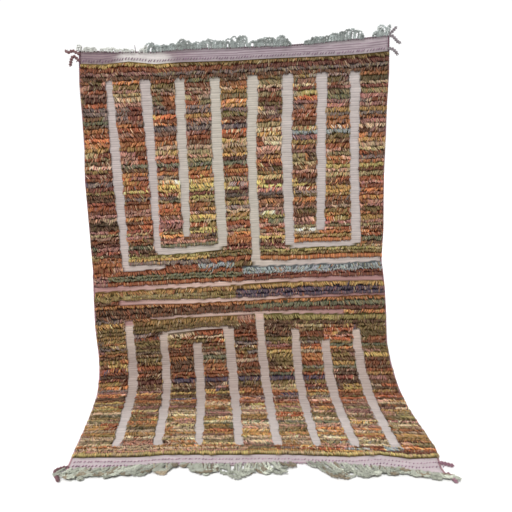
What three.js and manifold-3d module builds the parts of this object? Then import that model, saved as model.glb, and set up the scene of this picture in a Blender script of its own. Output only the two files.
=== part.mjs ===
// A hand-knotted wool rug that hangs by its top edge, its foot swept forward over the floor.
// Lengths are in millimetres and angles in radians. A place on the cloth is given by across
// (from its middle, to the right), down (from its top edge) and out (height above its back).

import * as THREE from 'three';
import { mergeVertices } from 'three/addons/utils/BufferGeometryUtils.js';
import Module from 'manifold-3d';

const wasm = await Module();
wasm.setup();

// The cloth
const HALF_WIDTH = 750;
const LENGTH = 2435;
const GROUND_THICKNESS = 5;
const PILE_HEIGHT = 16;
const PILE_LUMP = 1.6;
const PILE_WAVES = [{ across: 37, down: 90 }, { across: -71, down: 29 }];
const SELVEDGE = 11;
const PILE_WALL = 3;

// The drape
const HANG_HEIGHT = 1730;
const LEAN = -0.0126;
const ASKEW = 0.0429;
const BEND_LENGTH = 481;
const BEND_GROWTH = 0.28;
const LEAST_BEND = 120;
const RIPPLE = 5;
const RIPPLE_WIDTH = 230;
const RIPPLE_FALL = 520;
const RIPPLE_START = 0.7;

// The point of the floor that the part is placed by, under the middle of its box
const PLACED_BY = new THREE.Vector3(44.9, -460.9, 0);

// How the cloth was pulled out of true, at even steps down its length: the drift of the whole
// cloth to the right, the drop of its right side, and the sag of its sides
const PULL = [
  { drift: 0.0, skew: -6.0, sag: -3.2 },
  { drift: 4.5, skew: -1.6, sag: 1.4 },
  { drift: 2.9, skew: 2.8, sag: 6.0 },
  { drift: 13.7, skew: 8.7, sag: 19.0 },
  { drift: 1.4, skew: 14.6, sag: 32.0 },
];
const SAG_REST = 4 / 9;

// How far right each long side strays from straight, at even steps down
const LEFT_STRAY = [22, 9, 7, 2.5, -10.5, -10, -10, -10, -19, -28, -26, -33, -27, -18, -14.5, -13.5, -10];
const RIGHT_STRAY = [3, 2, -8.5, -13.5, -21.5, -22.5, -22, -31, -12, -5.5, -7.5, 5, 10, 10, 6, 2, -30];

// Places down the rug of what runs across it, at even steps from its left side to its right
const ACROSS = {
  topEdge: [-3, 3, 9.5, 13.5, 4, 4, 5.5, 7, 6, 3, -5.5, -10, -21],
  pileStart: [55, 63, 53.5, 69.5, 64.5, 65.5, 67, 64, 63, 63, 63, 60, 53],
  lineTops: [138, 138, 138, 138, 138, 138, 138],
  innerEnds: [912, 912, 912, 908, 903, 903, 903],
  innerBar: [985, 985, 980, 966, 978, 978, 980],
  outerBar: [1063, 1063, 1062, 1062, 1069, 1066, 1064],
  stripeOne: [1168, 1169, 1168, 1165, 1159, 1159, 1163],
  stripeTwo: [1243, 1244, 1253, 1254, 1251, 1250, 1248],
  stripeThree: [1338, 1336, 1330, 1328, 1332, 1338, 1338],
  lowerBar: [1430, 1424, 1406, 1402, 1424, 1432, 1428],
  lowerTops: [1482, 1482, 1484, 1486, 1489, 1491, 1491],
  lineFeet: [2289, 2289, 2289, 2289, 2289, 2289, 2289],
  pileEnd: [2369, 2375, 2380, 2365, 2368, 2372, 2367, 2367, 2374, 2375, 2353, 2377, 2354],
  bottomEdge: [2456, 2467, 2455, 2442, 2445, 2450, 2442, 2427, 2426, 2441, 2453, 2473, 2494],
};

// Widths of the bars and stripes at the same steps
const BAR_WIDTH = {
  innerBar: [34, 36, 38, 38, 32, 29, 30],
  outerBar: [30, 30, 20, 40, 30, 32, 20],
  stripeOne: [30, 26, 25, 23, 23, 25, 25],
  stripeTwo: [26, 26, 26, 20, 13, 13, 12],
  stripeThree: [14, 14, 18, 18, 21, 26, 24],
  lowerBar: [20, 20, 20, 20, 20, 20, 20],
};

// The flat-woven lines that run down the rug: their middles and widths at LINE_STEPS, and the
// crosswise places that each starts and ends at, above and below the stripes
const LINE_STEPS = [138, 550, 1000, 1339, 1815, 2289];
const LINES = [
  { at: [-602, -601, -594, -605, -604, -595], wide: [30, 44, 36, 40, 46, 38],
    upper: ['lineTops', 'outerBar'], lower: ['stripeThree', 'lineFeet'] },
  { at: [-430, -426, -427, -433, -427, -424], wide: [48, 40, 30, 40, 40, 37],
    upper: ['lineTops', 'innerBar'], lower: ['lowerBar', 'lineFeet'] },
  { at: [-266, -273, -276, -262, -252, -249], wide: [44, 43, 32, 48, 42, 31],
    upper: ['lineTops', 'innerEnds'], lower: ['lowerTops', 'lineFeet'] },
  { at: [-95, -102, -95, -90, -80, -77], wide: [44, 50, 43, 48, 44, 33],
    upper: ['lineTops', 'innerBar'], lower: ['lowerBar', 'lineFeet'] },
  { at: [87, 66, 72, 76, 88, 87], wide: [52, 42, 41, 40, 42, 36],
    upper: ['lineTops', 'outerBar'], lower: ['stripeThree', 'lineFeet'] },
  { at: [256, 241, 246, 262, 261, 255], wide: [50, 48, 44, 40, 41, 33],
    upper: ['lineTops', 'innerBar'], lower: ['lowerBar', 'lineFeet'] },
  { at: [424, 413, 402, 417, 422, 419], wide: [48, 43, 40, 40, 44, 40],
    upper: ['lineTops', 'innerEnds'], lower: ['lowerTops', 'lineFeet'] },
  { at: [587, 579, 587, 582, 597, 589], wide: [48, 40, 48, 40, 46, 40],
    upper: ['lineTops', 'innerBar'], lower: ['lowerBar', 'lineFeet'] },
];

// The bars and stripes: how far each reaches across
const BARS = [
  { name: 'innerBar', from: -427, to: -95 },
  { name: 'innerBar', from: 246, to: 587 },
  { name: 'outerBar', from: -598, to: -395 },
  { name: 'outerBar', from: 72, to: 735 },
  { name: 'stripeOne', from: -800, to: 800 },
  { name: 'stripeTwo', from: -640, to: 800 },
  { name: 'stripeThree', from: -490, to: 520 },
  { name: 'lowerBar', from: -433, to: -90 },
];

// The fringes: loops of spun warp, with their lift off the back of the cloth, and their reach
// past its edge and their lean to the right at even steps across
const FRINGES = {
  fringe_top: {
    edge: 'topEdge',
    away: -1,
    lift: 0.5,
    reaches: [
      34, 24, 20, 20, 20, 20, 20, 20, 20, 44, 34, 22, 36, 42, 28, 26, 46, 34, 30, 46,
      60, 26, 32, 42, 38, 50, 12, 0, 18, 36, 30, 40, 50, 50, 54, 0, 48, 48, 34],
    leans: [0.1, 0.16],
  },
  fringe_foot: {
    edge: 'bottomEdge',
    away: 1,
    lift: 0,
    reaches: [
      85, 82, 82, 59, 65, 71, 59, 60, 84, 79, 55, 18, 68, 88, 82, 73, 100, 105, 89, 69,
      100, 86, 0, 0, 0, 100, 118, 80, 100, 98, 77, 100, 73, 18, 45, 39, 41, 40, 41],
    leans: [-0.4, -0.45, -0.45, -0.5, 0, 0, 0, 0.2, 0.55, 0.1, 0.1, 0.1, 0.1],
  },
};
const LOOPS_PER_FRINGE = 42;
const LOOP_STEPS = 5;
const LOOP_SPAN = 17;
const LOOP_SHAPE = 0.8;
const UNEVEN_REACH = 0.1;
const UNEVEN_REACH_TURN = 2.4;
const UNEVEN_LEAN = 0.1;
const UNEVEN_LEAN_TURN = 0.32;
const FRINGE_INSET = 24;
const STRAND = 6.5;
const HEADING_GAP = 1.5;
const HEADING = 6;
const HEADING_STEP = 12;
const LEAST_REACH = 10;

// The loose ends of the side cords at the corners: where each starts, beside the cloth, and
// the steps it takes from there, across, down and out, after a short lead straight outward
const CORD = 9;
const CORD_GAP = 2;
const CORD_LEAD = 4;
const CORD_ENDS = [
  { name: 'cord_end_top_left_a', side: -1, down: 10,
    steps: [[-12, -6, 3], [-26, -14, 6], [-40, -6, 8], [-50, -6, 8], [-60, -18, 6]] },
  { name: 'cord_end_top_left_b', side: -1, down: 40,
    steps: [[-10, -12, 3], [-22, -20, 5], [-32, -6, 6], [-38, 12, 5], [-43, 29, 3]] },
  { name: 'cord_end_top_right_a', side: 1, down: -28,
    steps: [[8, -2, 2], [18, -12, 4], [28, -22, 5], [34, -27, 6]] },
  { name: 'cord_end_top_right_b', side: 1, down: -16.5,
    steps: [[10, 0, 3], [20, 10, 5], [32, 24, 6], [40, 33, 6], [54, 38, 6]] },
  { name: 'cord_end_top_right_c', side: 1, down: 42,
    steps: [[10, 1, 2], [20, 8, 4], [31, 20, 5], [40, 33, 5]] },
  { name: 'cord_end_foot_left_a', side: -1, down: 2446,
    steps: [[-14, 6, 0], [-26, 12, 0], [-36, 22, 0], [-36, 36, 0], [-28, 58, 0],
      [-18, 72, 0], [-10, 96, 0]] },
  { name: 'cord_end_foot_right_a', side: 1, down: 2405,
    steps: [[12, 2, 0], [30, 10, 0], [47, 18, 0]] },
  { name: 'cord_end_foot_right_b', side: 1, down: 2486,
    steps: [[8, 4, 0], [11, 16, 0], [13, 34, 0], [16, 56, 0]] },
];

// How finely the solid follows the cloth
const ROWS_BETWEEN = {
  pileStart: 1, lineTops: 1, innerEnds: 9, innerBar: 0, outerBar: 1, stripeOne: 1, stripeTwo: 1,
  stripeThree: 1, lowerBar: 1, lowerTops: 1, lineFeet: 15, pileEnd: 1, bottomEdge: 1,
};
const BACK_COLUMN_STEP = 5;
const BACK_ROW_STEP = 2;
const BEND_STEPS = 96;
const INSIDE = 0.5;
const SETTLING_PASSES = 2;
const MERGE_WITHIN = 1e-4;

const WOOL = new THREE.MeshStandardMaterial({ color: 0x8a4f2c, roughness: 0.95, metalness: 0 });
const WARP = new THREE.MeshStandardMaterial({ color: 0xb4bcae, roughness: 0.95, metalness: 0 });
const SIDE_CORD = new THREE.MeshStandardMaterial({ color: 0x8c6672, roughness: 0.9, metalness: 0 });

const clamp = THREE.MathUtils.clamp;
const ease = (share) => share * share * (3 - 2 * share);

// The value of evenly spaced stations at share, from 0 to 1, along them
function between(stations, share) {
  const place = clamp(share, 0, 1) * (stations.length - 1);
  const first = Math.min(Math.floor(place), stations.length - 2);
  return THREE.MathUtils.lerp(stations[first], stations[first + 1], place - first);
}

const acrossShare = (across) => (across + HALF_WIDTH) / (2 * HALF_WIDTH);
const placeDown = (name, across) => between(ACROSS[name], acrossShare(across));
const barWidth = (name, across) => between(BAR_WIDTH[name], acrossShare(across));
const pull = (key, down) => between(PULL.map((step) => step[key]), down / LENGTH);

// The value of a line's stations at a place down the rug
function alongLine(stations, down) {
  let first = 0;
  while (first < LINE_STEPS.length - 2 && down > LINE_STEPS[first + 1]) first += 1;
  const share = (down - LINE_STEPS[first]) / (LINE_STEPS[first + 1] - LINE_STEPS[first]);
  return THREE.MathUtils.lerp(stations[first], stations[first + 1], ease(clamp(share, 0, 1)));
}

// The bend from hanging to lying, as shares of its length fallen and run forward
const headingAt = (share) => LEAN + (Math.PI / 2 - LEAN) * ease(share);
const fallen = [0];
const forward = [0];
for (let step = 0; step < BEND_STEPS; step += 1) {
  const heading = headingAt((step + 0.5) / BEND_STEPS);
  fallen.push(fallen[step] + Math.cos(heading) / BEND_STEPS);
  forward.push(forward[step] + Math.sin(heading) / BEND_STEPS);
}

// Where the cloth is, and which way it heads, at a sideways place and a distance down the drape
function drape(sideways, along) {
  const bend = Math.max(BEND_LENGTH + BEND_GROWTH * sideways, LEAST_BEND);
  const hanging = (HANG_HEIGHT - bend * fallen[BEND_STEPS]) / Math.cos(LEAN);
  const share = clamp((along - hanging) / bend, 0, 1);
  const straight = Math.min(along, hanging);
  const lying = Math.max(0, along - hanging - bend);
  return {
    y: -straight * Math.sin(LEAN) - bend * between(forward, share) - lying,
    z: HANG_HEIGHT - straight * Math.cos(LEAN) - bend * between(fallen, share),
    heading: headingAt(share),
    ripple: RIPPLE * Math.sin(sideways / RIPPLE_WIDTH + RIPPLE_START)
      * Math.sin(Math.max(along, 0) / RIPPLE_FALL) * (1 - ease(clamp(along / hanging, 0, 1))),
  };
}

// The point of space at a place on the cloth
function clothPoint(across, down, out) {
  const sides = (across / HALF_WIDTH) ** 2 - SAG_REST;
  const dropped = down + pull('skew', down) * (across / HALF_WIDTH) + pull('sag', down) * sides;
  const drifted = across + pull('drift', down);
  const sideways = drifted * Math.cos(ASKEW) + dropped * Math.sin(ASKEW);
  const along = -drifted * Math.sin(ASKEW) + dropped * Math.cos(ASKEW);
  const { y, z, heading, ripple } = drape(sideways, along);
  const lift = out + ripple;
  const floored = Math.max(z, 0);
  return new THREE.Vector3(sideways, y - lift * Math.cos(heading), floored + lift * Math.sin(heading));
}

const leftSide = (down) => -HALF_WIDTH + between(LEFT_STRAY, down / LENGTH);
const rightSide = (down) => HALF_WIDTH + between(RIGHT_STRAY, down / LENGTH);

// Whether a place is in the flat weave rather than the pile
function isFlatWoven(across, down) {
  if (across < leftSide(down) + SELVEDGE || across > rightSide(down) - SELVEDGE) return true;
  if (down < placeDown('pileStart', across) || down > placeDown('pileEnd', across)) return true;
  const inBar = BARS.some(({ name, from, to }) => across >= from && across <= to
    && Math.abs(down - placeDown(name, across)) <= barWidth(name, across) / 2);
  return inBar || LINES.some(({ at, wide, upper, lower }) => {
    if (Math.abs(across - alongLine(at, down)) > alongLine(wide, down) / 2) return false;
    return [upper, lower].some(([start, end]) => (
      down >= placeDown(start, across) && down <= placeDown(end, across)));
  });
}

function heightAt(across, down) {
  if (isFlatWoven(across, down)) return GROUND_THICKNESS;
  const lumps = PILE_WAVES.map((wave) => Math.sin(across / wave.across + down / wave.down));
  return PILE_HEIGHT + PILE_LUMP * (lumps[0] + lumps[1]) / 2;
}

// The columns of the mesh: pairs just inside and outside each line's sides, one between lines
function columnsAt(down) {
  const walls = LINES.flatMap(({ at, wide }) => {
    const middle = alongLine(at, down);
    const half = alongLine(wide, down) / 2;
    const [start, end] = [middle - half, middle + half];
    return [start - PILE_WALL, start + INSIDE, end - INSIDE, end + PILE_WALL];
  });
  const left = leftSide(down);
  const right = rightSide(down);
  const columns = [left, left + SELVEDGE - INSIDE, left + SELVEDGE + PILE_WALL];
  for (let wall = 0; wall < walls.length; wall += 4) {
    columns.push((columns.at(-1) + walls[wall]) / 2, ...walls.slice(wall, wall + 4));
  }
  const last = right - SELVEDGE - PILE_WALL;
  columns.push((columns.at(-1) + last) / 2, last, right - SELVEDGE + INSIDE, right);
  return columns;
}

// The rows of the mesh, each a function of the place across
function makeRows() {
  const rows = [(across) => placeDown('topEdge', across)];
  let last = rows[0];
  for (const [name, count] of Object.entries(ROWS_BETWEEN)) {
    const isEdge = name === 'bottomEdge';
    const half = (across) => (name in BAR_WIDTH ? barWidth(name, across) / 2 : 0);
    const start = (across) => placeDown(name, across) - half(across);
    const end = (across) => placeDown(name, across) + half(across);
    const from = last;
    for (let step = 1; step <= count; step += 1) {
      const share = step / (count + 1);
      rows.push((across) => THREE.MathUtils.lerp(from(across), start(across), share));
    }
    if (isEdge) {
      rows.push(end);
      continue;
    }
    for (const side of name in BAR_WIDTH ? [start, end] : [start]) {
      rows.push((across) => side(across) - PILE_WALL / 2, (across) => side(across) + PILE_WALL / 2);
    }
    last = end;
  }
  return rows;
}

// Fills the gap between two strings of corners, given as [share, index], with triangles
function zip(first, second, faces) {
  let a = 0;
  let b = 0;
  while (a < first.length - 1 || b < second.length - 1) {
    const stepFirst = b === second.length - 1
      || (a < first.length - 1 && first[a + 1][0] <= second[b + 1][0]);
    if (stepFirst) {
      faces.push(first[a][1], first[a + 1][1], second[b][1]);
      a += 1;
    } else {
      faces.push(first[a][1], second[b + 1][1], second[b][1]);
      b += 1;
    }
  }
}

function everyFew(count, step) {
  const picked = [];
  for (let index = 0; index < count - 1; index += step) picked.push(index);
  picked.push(count - 1);
  return picked;
}

// The rug: one closed solid, its pile raised from the flat weave
function makeRug() {
  const rows = makeRows();
  const columnCount = columnsAt(0).length;
  const points = [];
  const faces = [];
  const front = rows.map((rowAt) => Array.from({ length: columnCount }, (_, column) => {
    let down = rowAt(0);
    let across = columnsAt(down)[column];
    for (let pass = 0; pass < SETTLING_PASSES; pass += 1) {
      down = rowAt(across);
      across = columnsAt(down)[column];
    }
    points.push({ across, down, out: heightAt(across, down) });
    return points.length - 1;
  }));
  const lastRow = rows.length - 1;
  const keptColumns = everyFew(columnCount, BACK_COLUMN_STEP);
  const back = everyFew(rows.length, BACK_ROW_STEP).map((row) => {
    const isEnd = row === 0 || row === lastRow;
    const columns = isEnd ? everyFew(columnCount, 1) : keptColumns;
    const corners = columns.map((column) => {
      points.push({ ...points[front[row][column]], out: 0 });
      return [column, points.length - 1];
    });
    return { row, corners };
  });
  for (let row = 0; row < front.length - 1; row += 1) {
    for (let column = 0; column < columnCount - 1; column += 1) {
      const [a, b] = [front[row][column], front[row][column + 1]];
      const [c, d] = [front[row + 1][column], front[row + 1][column + 1]];
      faces.push(a, c, b, b, c, d);
    }
  }
  for (let kept = 0; kept < back.length - 1; kept += 1) {
    zip(back[kept].corners, back[kept + 1].corners, faces);
  }
  const lastColumn = columnCount - 1;
  const alongRow = (row) => front[row].map((corner, column) => [column, corner]);
  const alongSide = (column) => front.map((row, index) => [index, row[column]]);
  zip(alongRow(0), back[0].corners, faces);
  zip(back.at(-1).corners, alongRow(lastRow), faces);
  zip(back.map(({ row, corners }) => [row, corners[0][1]]), alongSide(0), faces);
  zip(alongSide(lastColumn), back.map(({ row, corners }) => [row, corners.at(-1)[1]]), faces);
  return clothGeometry(points, faces);
}

function clothGeometry(points, faces) {
  const geometry = new THREE.BufferGeometry();
  const places = points.flatMap(({ across, down, out }) => clothPoint(across, down, out).toArray());
  geometry.setAttribute('position', new THREE.Float32BufferAttribute(places, 3));
  geometry.setIndex(faces);
  return geometry;
}

// A square strand laid along a path of places on the cloth, with its underside level
function makeStrand(path, width, thickness) {
  const points = [];
  const faces = [];
  path.forEach(([across, down, out], step) => {
    const before = path[Math.max(step - 1, 0)];
    const after = path[Math.min(step + 1, path.length - 1)];
    const way = new THREE.Vector2(after[0] - before[0], after[1] - before[1]).normalize();
    for (const [side, rise] of [[-1, 0], [1, 0], [1, 1], [-1, 1]]) {
      points.push({
        across: across - way.y * side * width / 2,
        down: down + way.x * side * width / 2,
        out: out + rise * thickness,
      });
    }
  });
  for (let step = 0; step < path.length - 1; step += 1) {
    for (let corner = 0; corner < 4; corner += 1) {
      const a = 4 * step + corner;
      const b = 4 * step + (corner + 1) % 4;
      faces.push(a, a + 4, b, b, a + 4, b + 4);
    }
  }
  const end = 4 * (path.length - 1);
  faces.push(0, 1, 2, 0, 2, 3, end, end + 2, end + 1, end, end + 3, end + 2);
  return clothGeometry(points, faces);
}

function toSolid(geometry) {
  const merged = mergeVertices(geometry, MERGE_WITHIN);
  return new wasm.Manifold(new wasm.Mesh({
    numProp: 3,
    vertProperties: merged.attributes.position.array,
    triVerts: merged.index.array,
  }));
}

function toGeometry(solid) {
  const { vertProperties, triVerts } = solid.getMesh();
  const geometry = new THREE.BufferGeometry();
  geometry.setAttribute('position', new THREE.BufferAttribute(vertProperties, 3));
  geometry.setIndex(new THREE.BufferAttribute(triVerts, 1));
  return geometry;
}

// The heading of a fringe: a narrow strip along one end of the cloth. Away is -1 above the
// top edge and 1 below the bottom one.
function makeHeading(edge, away) {
  const columns = columnsAt(placeDown(edge, 0));
  const kept = columns.filter((across, column) => (
    column === 0 || across - columns[column - 1] > HEADING_STEP));
  const path = [...kept, columns.at(-1)].map((across) => (
    [across, placeDown(edge, across) + away * (HEADING_GAP + HEADING / 2), 0]));
  return makeStrand(path, HEADING, STRAND);
}

// A fringe: loops of warp rooted in their heading, leaning the same way as their neighbours
function makeFringe({ edge, away, lift, reaches, leans }) {
  let fringe = toSolid(makeHeading(edge, away));
  const pitch = 2 * (HALF_WIDTH - FRINGE_INSET) / LOOPS_PER_FRINGE;
  for (let loop = 0; loop < LOOPS_PER_FRINGE; loop += 1) {
    const root = FRINGE_INSET - HALF_WIDTH + pitch * loop;
    const uneven = 1 - UNEVEN_REACH * (1 - Math.sin(loop * UNEVEN_REACH_TURN));
    const reach = between(reaches, acrossShare(root)) * uneven;
    if (reach < LEAST_REACH) continue;
    const start = placeDown(edge, root) + away * (HEADING_GAP + HEADING / 2);
    const lean = between(leans, acrossShare(root)) + UNEVEN_LEAN * Math.sin(loop * UNEVEN_LEAN_TURN);
    const path = Array.from({ length: LOOP_STEPS + 1 }, (_, step) => {
      const turn = Math.PI * step / LOOP_STEPS;
      const rise = reach * Math.sin(turn) ** LOOP_SHAPE;
      return [root + LOOP_SPAN * (1 - Math.cos(turn)) / 2 + lean * rise, start + away * rise, lift];
    });
    fringe = fringe.add(toSolid(makeStrand(path, STRAND, STRAND)));
  }
  return toGeometry(fringe);
}

function makeCordEnd({ side, down, steps }) {
  const edge = side < 0 ? leftSide(down) : rightSide(down);
  const start = edge + side * CORD_GAP;
  const path = [[0, 0, 0], [side * CORD_LEAD, 0, 0], ...steps];
  return makeStrand(path.map(([across, fall, out]) => [start + across, down + fall, out]), CORD, CORD);
}

const group = new THREE.Group();

function addPiece(name, geometry, material) {
  const mesh = new THREE.Mesh(geometry, material);
  mesh.name = name;
  mesh.position.copy(PLACED_BY).negate();
  group.add(mesh);
}

addPiece('rug', makeRug(), WOOL);
Object.entries(FRINGES).forEach(([name, fringe]) => addPiece(name, makeFringe(fringe), WARP));
CORD_ENDS.forEach((cordEnd) => addPiece(cordEnd.name, makeCordEnd(cordEnd), SIDE_CORD));

export default group;
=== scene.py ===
import math

import bpy
import numpy as np
from bpy.props import FloatProperty, FloatVectorProperty, IntProperty, PointerProperty
from mathutils import Matrix, Vector


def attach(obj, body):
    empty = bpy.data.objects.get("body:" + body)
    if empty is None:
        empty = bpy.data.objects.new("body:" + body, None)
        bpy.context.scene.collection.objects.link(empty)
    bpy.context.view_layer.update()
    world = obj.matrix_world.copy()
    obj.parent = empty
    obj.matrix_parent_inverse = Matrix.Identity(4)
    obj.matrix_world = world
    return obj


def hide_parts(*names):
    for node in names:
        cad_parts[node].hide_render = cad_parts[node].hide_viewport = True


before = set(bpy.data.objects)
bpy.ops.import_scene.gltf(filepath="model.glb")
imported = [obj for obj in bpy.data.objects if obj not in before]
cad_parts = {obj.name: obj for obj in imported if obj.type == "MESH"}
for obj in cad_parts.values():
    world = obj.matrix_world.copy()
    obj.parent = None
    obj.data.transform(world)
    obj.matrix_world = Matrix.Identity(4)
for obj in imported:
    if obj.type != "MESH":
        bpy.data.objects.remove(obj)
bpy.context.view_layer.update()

bl_info = {
    "name": "Hung Pile Rug",
    "version": (1, 0, 0),
    "blender": (4, 5, 0),
    "location": "View3D > Sidebar > Rug",
    "description": "A knotted wool rug with flat-woven lines, hung by its top edge",
    "category": "Add Mesh",
}

BODY = "root"
# How a screen turns light into the colours seen: the end, below it, of the straight part of
# its curve, that part's slope, and the offset and power of the rest
SCREEN_CURVE = (0.04045, 12.92, 0.055, 2.4)

# The cloth, in metres. A place on it is given by across (from its middle, to the right), down
# (from its top edge) and out (height above its back).
HALF_WIDTH = 0.75
LENGTH = 2.435
OVERHANG = 0.002

# The drape, in metres and radians
HANG_HEIGHT = 1.73
LEAN = -0.0126
ASKEW = 0.0429
BEND_LENGTH = 0.481
BEND_GROWTH = 0.28
LEAST_BEND = 0.12
RIPPLE = 0.005
RIPPLE_WIDTH = 0.23
RIPPLE_FALL = 0.52
RIPPLE_START = 0.7
BEND_STEPS = 96
SAG_REST = 4 / 9
PLACED_BY = np.array((0.0449, -0.4609, 0.0))

# How the cloth was pulled out of true, at even steps down its length: the drift of the whole
# cloth to the right, the drop of its right side, and the sag of its sides
PULL = {
    "drift": (0.0, 0.0045, 0.0029, 0.0137, 0.0014),
    "skew": (-0.006, -0.0016, 0.0028, 0.0087, 0.0146),
    "sag": (-0.0032, 0.0014, 0.006, 0.019, 0.032),
}

# How far right each long side strays from straight, at even steps down: the left (-1) and the
# right (1)
SIDE_STRAY = {
    -1: (
        0.022, 0.009, 0.007, 0.0025, -0.0105, -0.01, -0.01, -0.01, -0.019, -0.028, -0.026, -0.033,
        -0.027, -0.018, -0.0145, -0.0135, -0.01),
    1: (
        0.003, 0.002, -0.0085, -0.0135, -0.0215, -0.0225, -0.022, -0.031, -0.012, -0.0055, -0.0075,
        0.005, 0.01, 0.01, 0.006, 0.002, -0.03),
}

# Places down the rug of what runs across it, at even steps from its left side to its right, or
# one place where it is the same all the way
ACROSS = {
    "top_edge": (
        -0.003, 0.003, 0.0095, 0.0135, 0.004, 0.004, 0.0055, 0.007, 0.006, 0.003, -0.0055, -0.01,
        -0.021),
    "pile_start": (
        0.055, 0.063, 0.0535, 0.0695, 0.0645, 0.0655, 0.067, 0.064, 0.063, 0.063, 0.063, 0.06, 0.053),
    "line_tops": (0.138,),
    "inner_ends": (0.912, 0.912, 0.912, 0.908, 0.903, 0.903, 0.903),
    "inner_bar": (0.985, 0.985, 0.98, 0.966, 0.978, 0.978, 0.98),
    "outer_bar": (1.063, 1.063, 1.062, 1.062, 1.069, 1.066, 1.064),
    "stripe_one": (1.168, 1.169, 1.168, 1.165, 1.159, 1.159, 1.163),
    "stripe_two": (1.243, 1.244, 1.253, 1.254, 1.251, 1.25, 1.248),
    "stripe_three": (1.338, 1.336, 1.33, 1.328, 1.332, 1.338, 1.338),
    "lower_bar": (1.43, 1.424, 1.406, 1.402, 1.424, 1.432, 1.428),
    "lower_tops": (1.482, 1.482, 1.484, 1.486, 1.489, 1.491, 1.491),
    "line_feet": (2.289,),
    "pile_end": (
        2.369, 2.375, 2.38, 2.365, 2.368, 2.372, 2.367, 2.367, 2.374, 2.375, 2.353, 2.377, 2.354),
    "bottom_edge": (
        2.456, 2.467, 2.455, 2.442, 2.445, 2.45, 2.442, 2.427, 2.426, 2.441, 2.453, 2.473, 2.494),
}

# Widths of the bars and stripes at the same steps
BAR_WIDTH = {
    "inner_bar": (0.034, 0.036, 0.038, 0.038, 0.032, 0.029, 0.030),
    "outer_bar": (0.030, 0.030, 0.020, 0.040, 0.030, 0.032, 0.020),
    "stripe_one": (0.030, 0.026, 0.025, 0.023, 0.023, 0.025, 0.025),
    "stripe_two": (0.026, 0.026, 0.026, 0.020, 0.013, 0.013, 0.012),
    "stripe_three": (0.014, 0.014, 0.018, 0.018, 0.021, 0.026, 0.024),
    "lower_bar": (0.020,),
}

# How unevenly the sides of the flat-woven lines waver, and over what lengths
WAVER = 0.0011
WAVER_LENGTHS = (0.027, 0.0113)
WAVER_TURN = 40.0

# The flat-woven lines that run down the rug: their middles and widths at LINE_STEPS, and the
# crosswise places that each starts and ends at, above and below the stripes
LONG = (("line_tops", "outer_bar"), ("stripe_three", "line_feet"))
BARRED = (("line_tops", "inner_bar"), ("lower_bar", "line_feet"))
SHORT = (("line_tops", "inner_ends"), ("lower_tops", "line_feet"))
LINE_STEPS = (0.138, 0.550, 1.000, 1.339, 1.815, 2.289)
LINES = (
    {"runs": LONG, "at": (-0.602, -0.601, -0.594, -0.605, -0.604, -0.595),
     "wide": (0.030, 0.044, 0.036, 0.040, 0.046, 0.038)},
    {"runs": BARRED, "at": (-0.430, -0.426, -0.427, -0.433, -0.427, -0.424),
     "wide": (0.048, 0.040, 0.030, 0.040, 0.040, 0.037)},
    {"runs": SHORT, "at": (-0.266, -0.273, -0.276, -0.262, -0.252, -0.249),
     "wide": (0.044, 0.043, 0.032, 0.048, 0.042, 0.031)},
    {"runs": BARRED, "at": (-0.095, -0.102, -0.095, -0.090, -0.080, -0.077),
     "wide": (0.044, 0.050, 0.043, 0.048, 0.044, 0.033)},
    {"runs": LONG, "at": (0.087, 0.066, 0.072, 0.076, 0.088, 0.087),
     "wide": (0.052, 0.042, 0.041, 0.040, 0.042, 0.036)},
    {"runs": BARRED, "at": (0.256, 0.241, 0.246, 0.262, 0.261, 0.255),
     "wide": (0.050, 0.048, 0.044, 0.040, 0.041, 0.033)},
    {"runs": SHORT, "at": (0.424, 0.413, 0.402, 0.417, 0.422, 0.419),
     "wide": (0.048, 0.043, 0.040, 0.040, 0.044, 0.040)},
    {"runs": BARRED, "at": (0.587, 0.579, 0.587, 0.582, 0.597, 0.589),
     "wide": (0.048, 0.040, 0.048, 0.040, 0.046, 0.040)},
)

# The bars and stripes: how far each reaches across
BARS = (
    ("inner_bar", -0.427, -0.095),
    ("inner_bar", 0.246, 0.587),
    ("outer_bar", -0.598, -0.395),
    ("outer_bar", 0.072, 0.735),
    ("stripe_one", -0.800, 0.800),
    ("stripe_two", -0.640, 0.800),
    ("stripe_three", -0.490, 0.520),
    ("lower_bar", -0.433, -0.090),
)


def edges():
    """The edges that the wefts run along, from the top: a place, and which side of it."""
    found = {}
    for name in ACROSS:
        found[name] = (name, -1 if name in BAR_WIDTH else 0)
        if name in BAR_WIDTH:
            found["under_" + name] = (name, 1)
    return found


EDGES = edges()
EDGE_NAMES = tuple(EDGES)

# The colours of the yarns as the eye sees them, red, green and blue out of 255
WOOLS = {
    "rust": (160, 88, 56),
    "orange": (196, 128, 80),
    "mustard": (192, 150, 90),
    "gold": (220, 188, 116),
    "pink": (202, 152, 132),
    "mauve": (166, 116, 108),
    "wine": (124, 66, 56),
    "olive": (144, 120, 72),
    "lime": (184, 168, 104),
    "sage": (172, 154, 112),
    "teal": (122, 124, 98),
    "slate": (140, 122, 116),
    "navy": (88, 76, 98),
    "brown": (110, 74, 54),
    "beige": (214, 186, 154),
    "sky": (174, 182, 184),
}
WOOL_NAMES = tuple(WOOLS)

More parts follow.
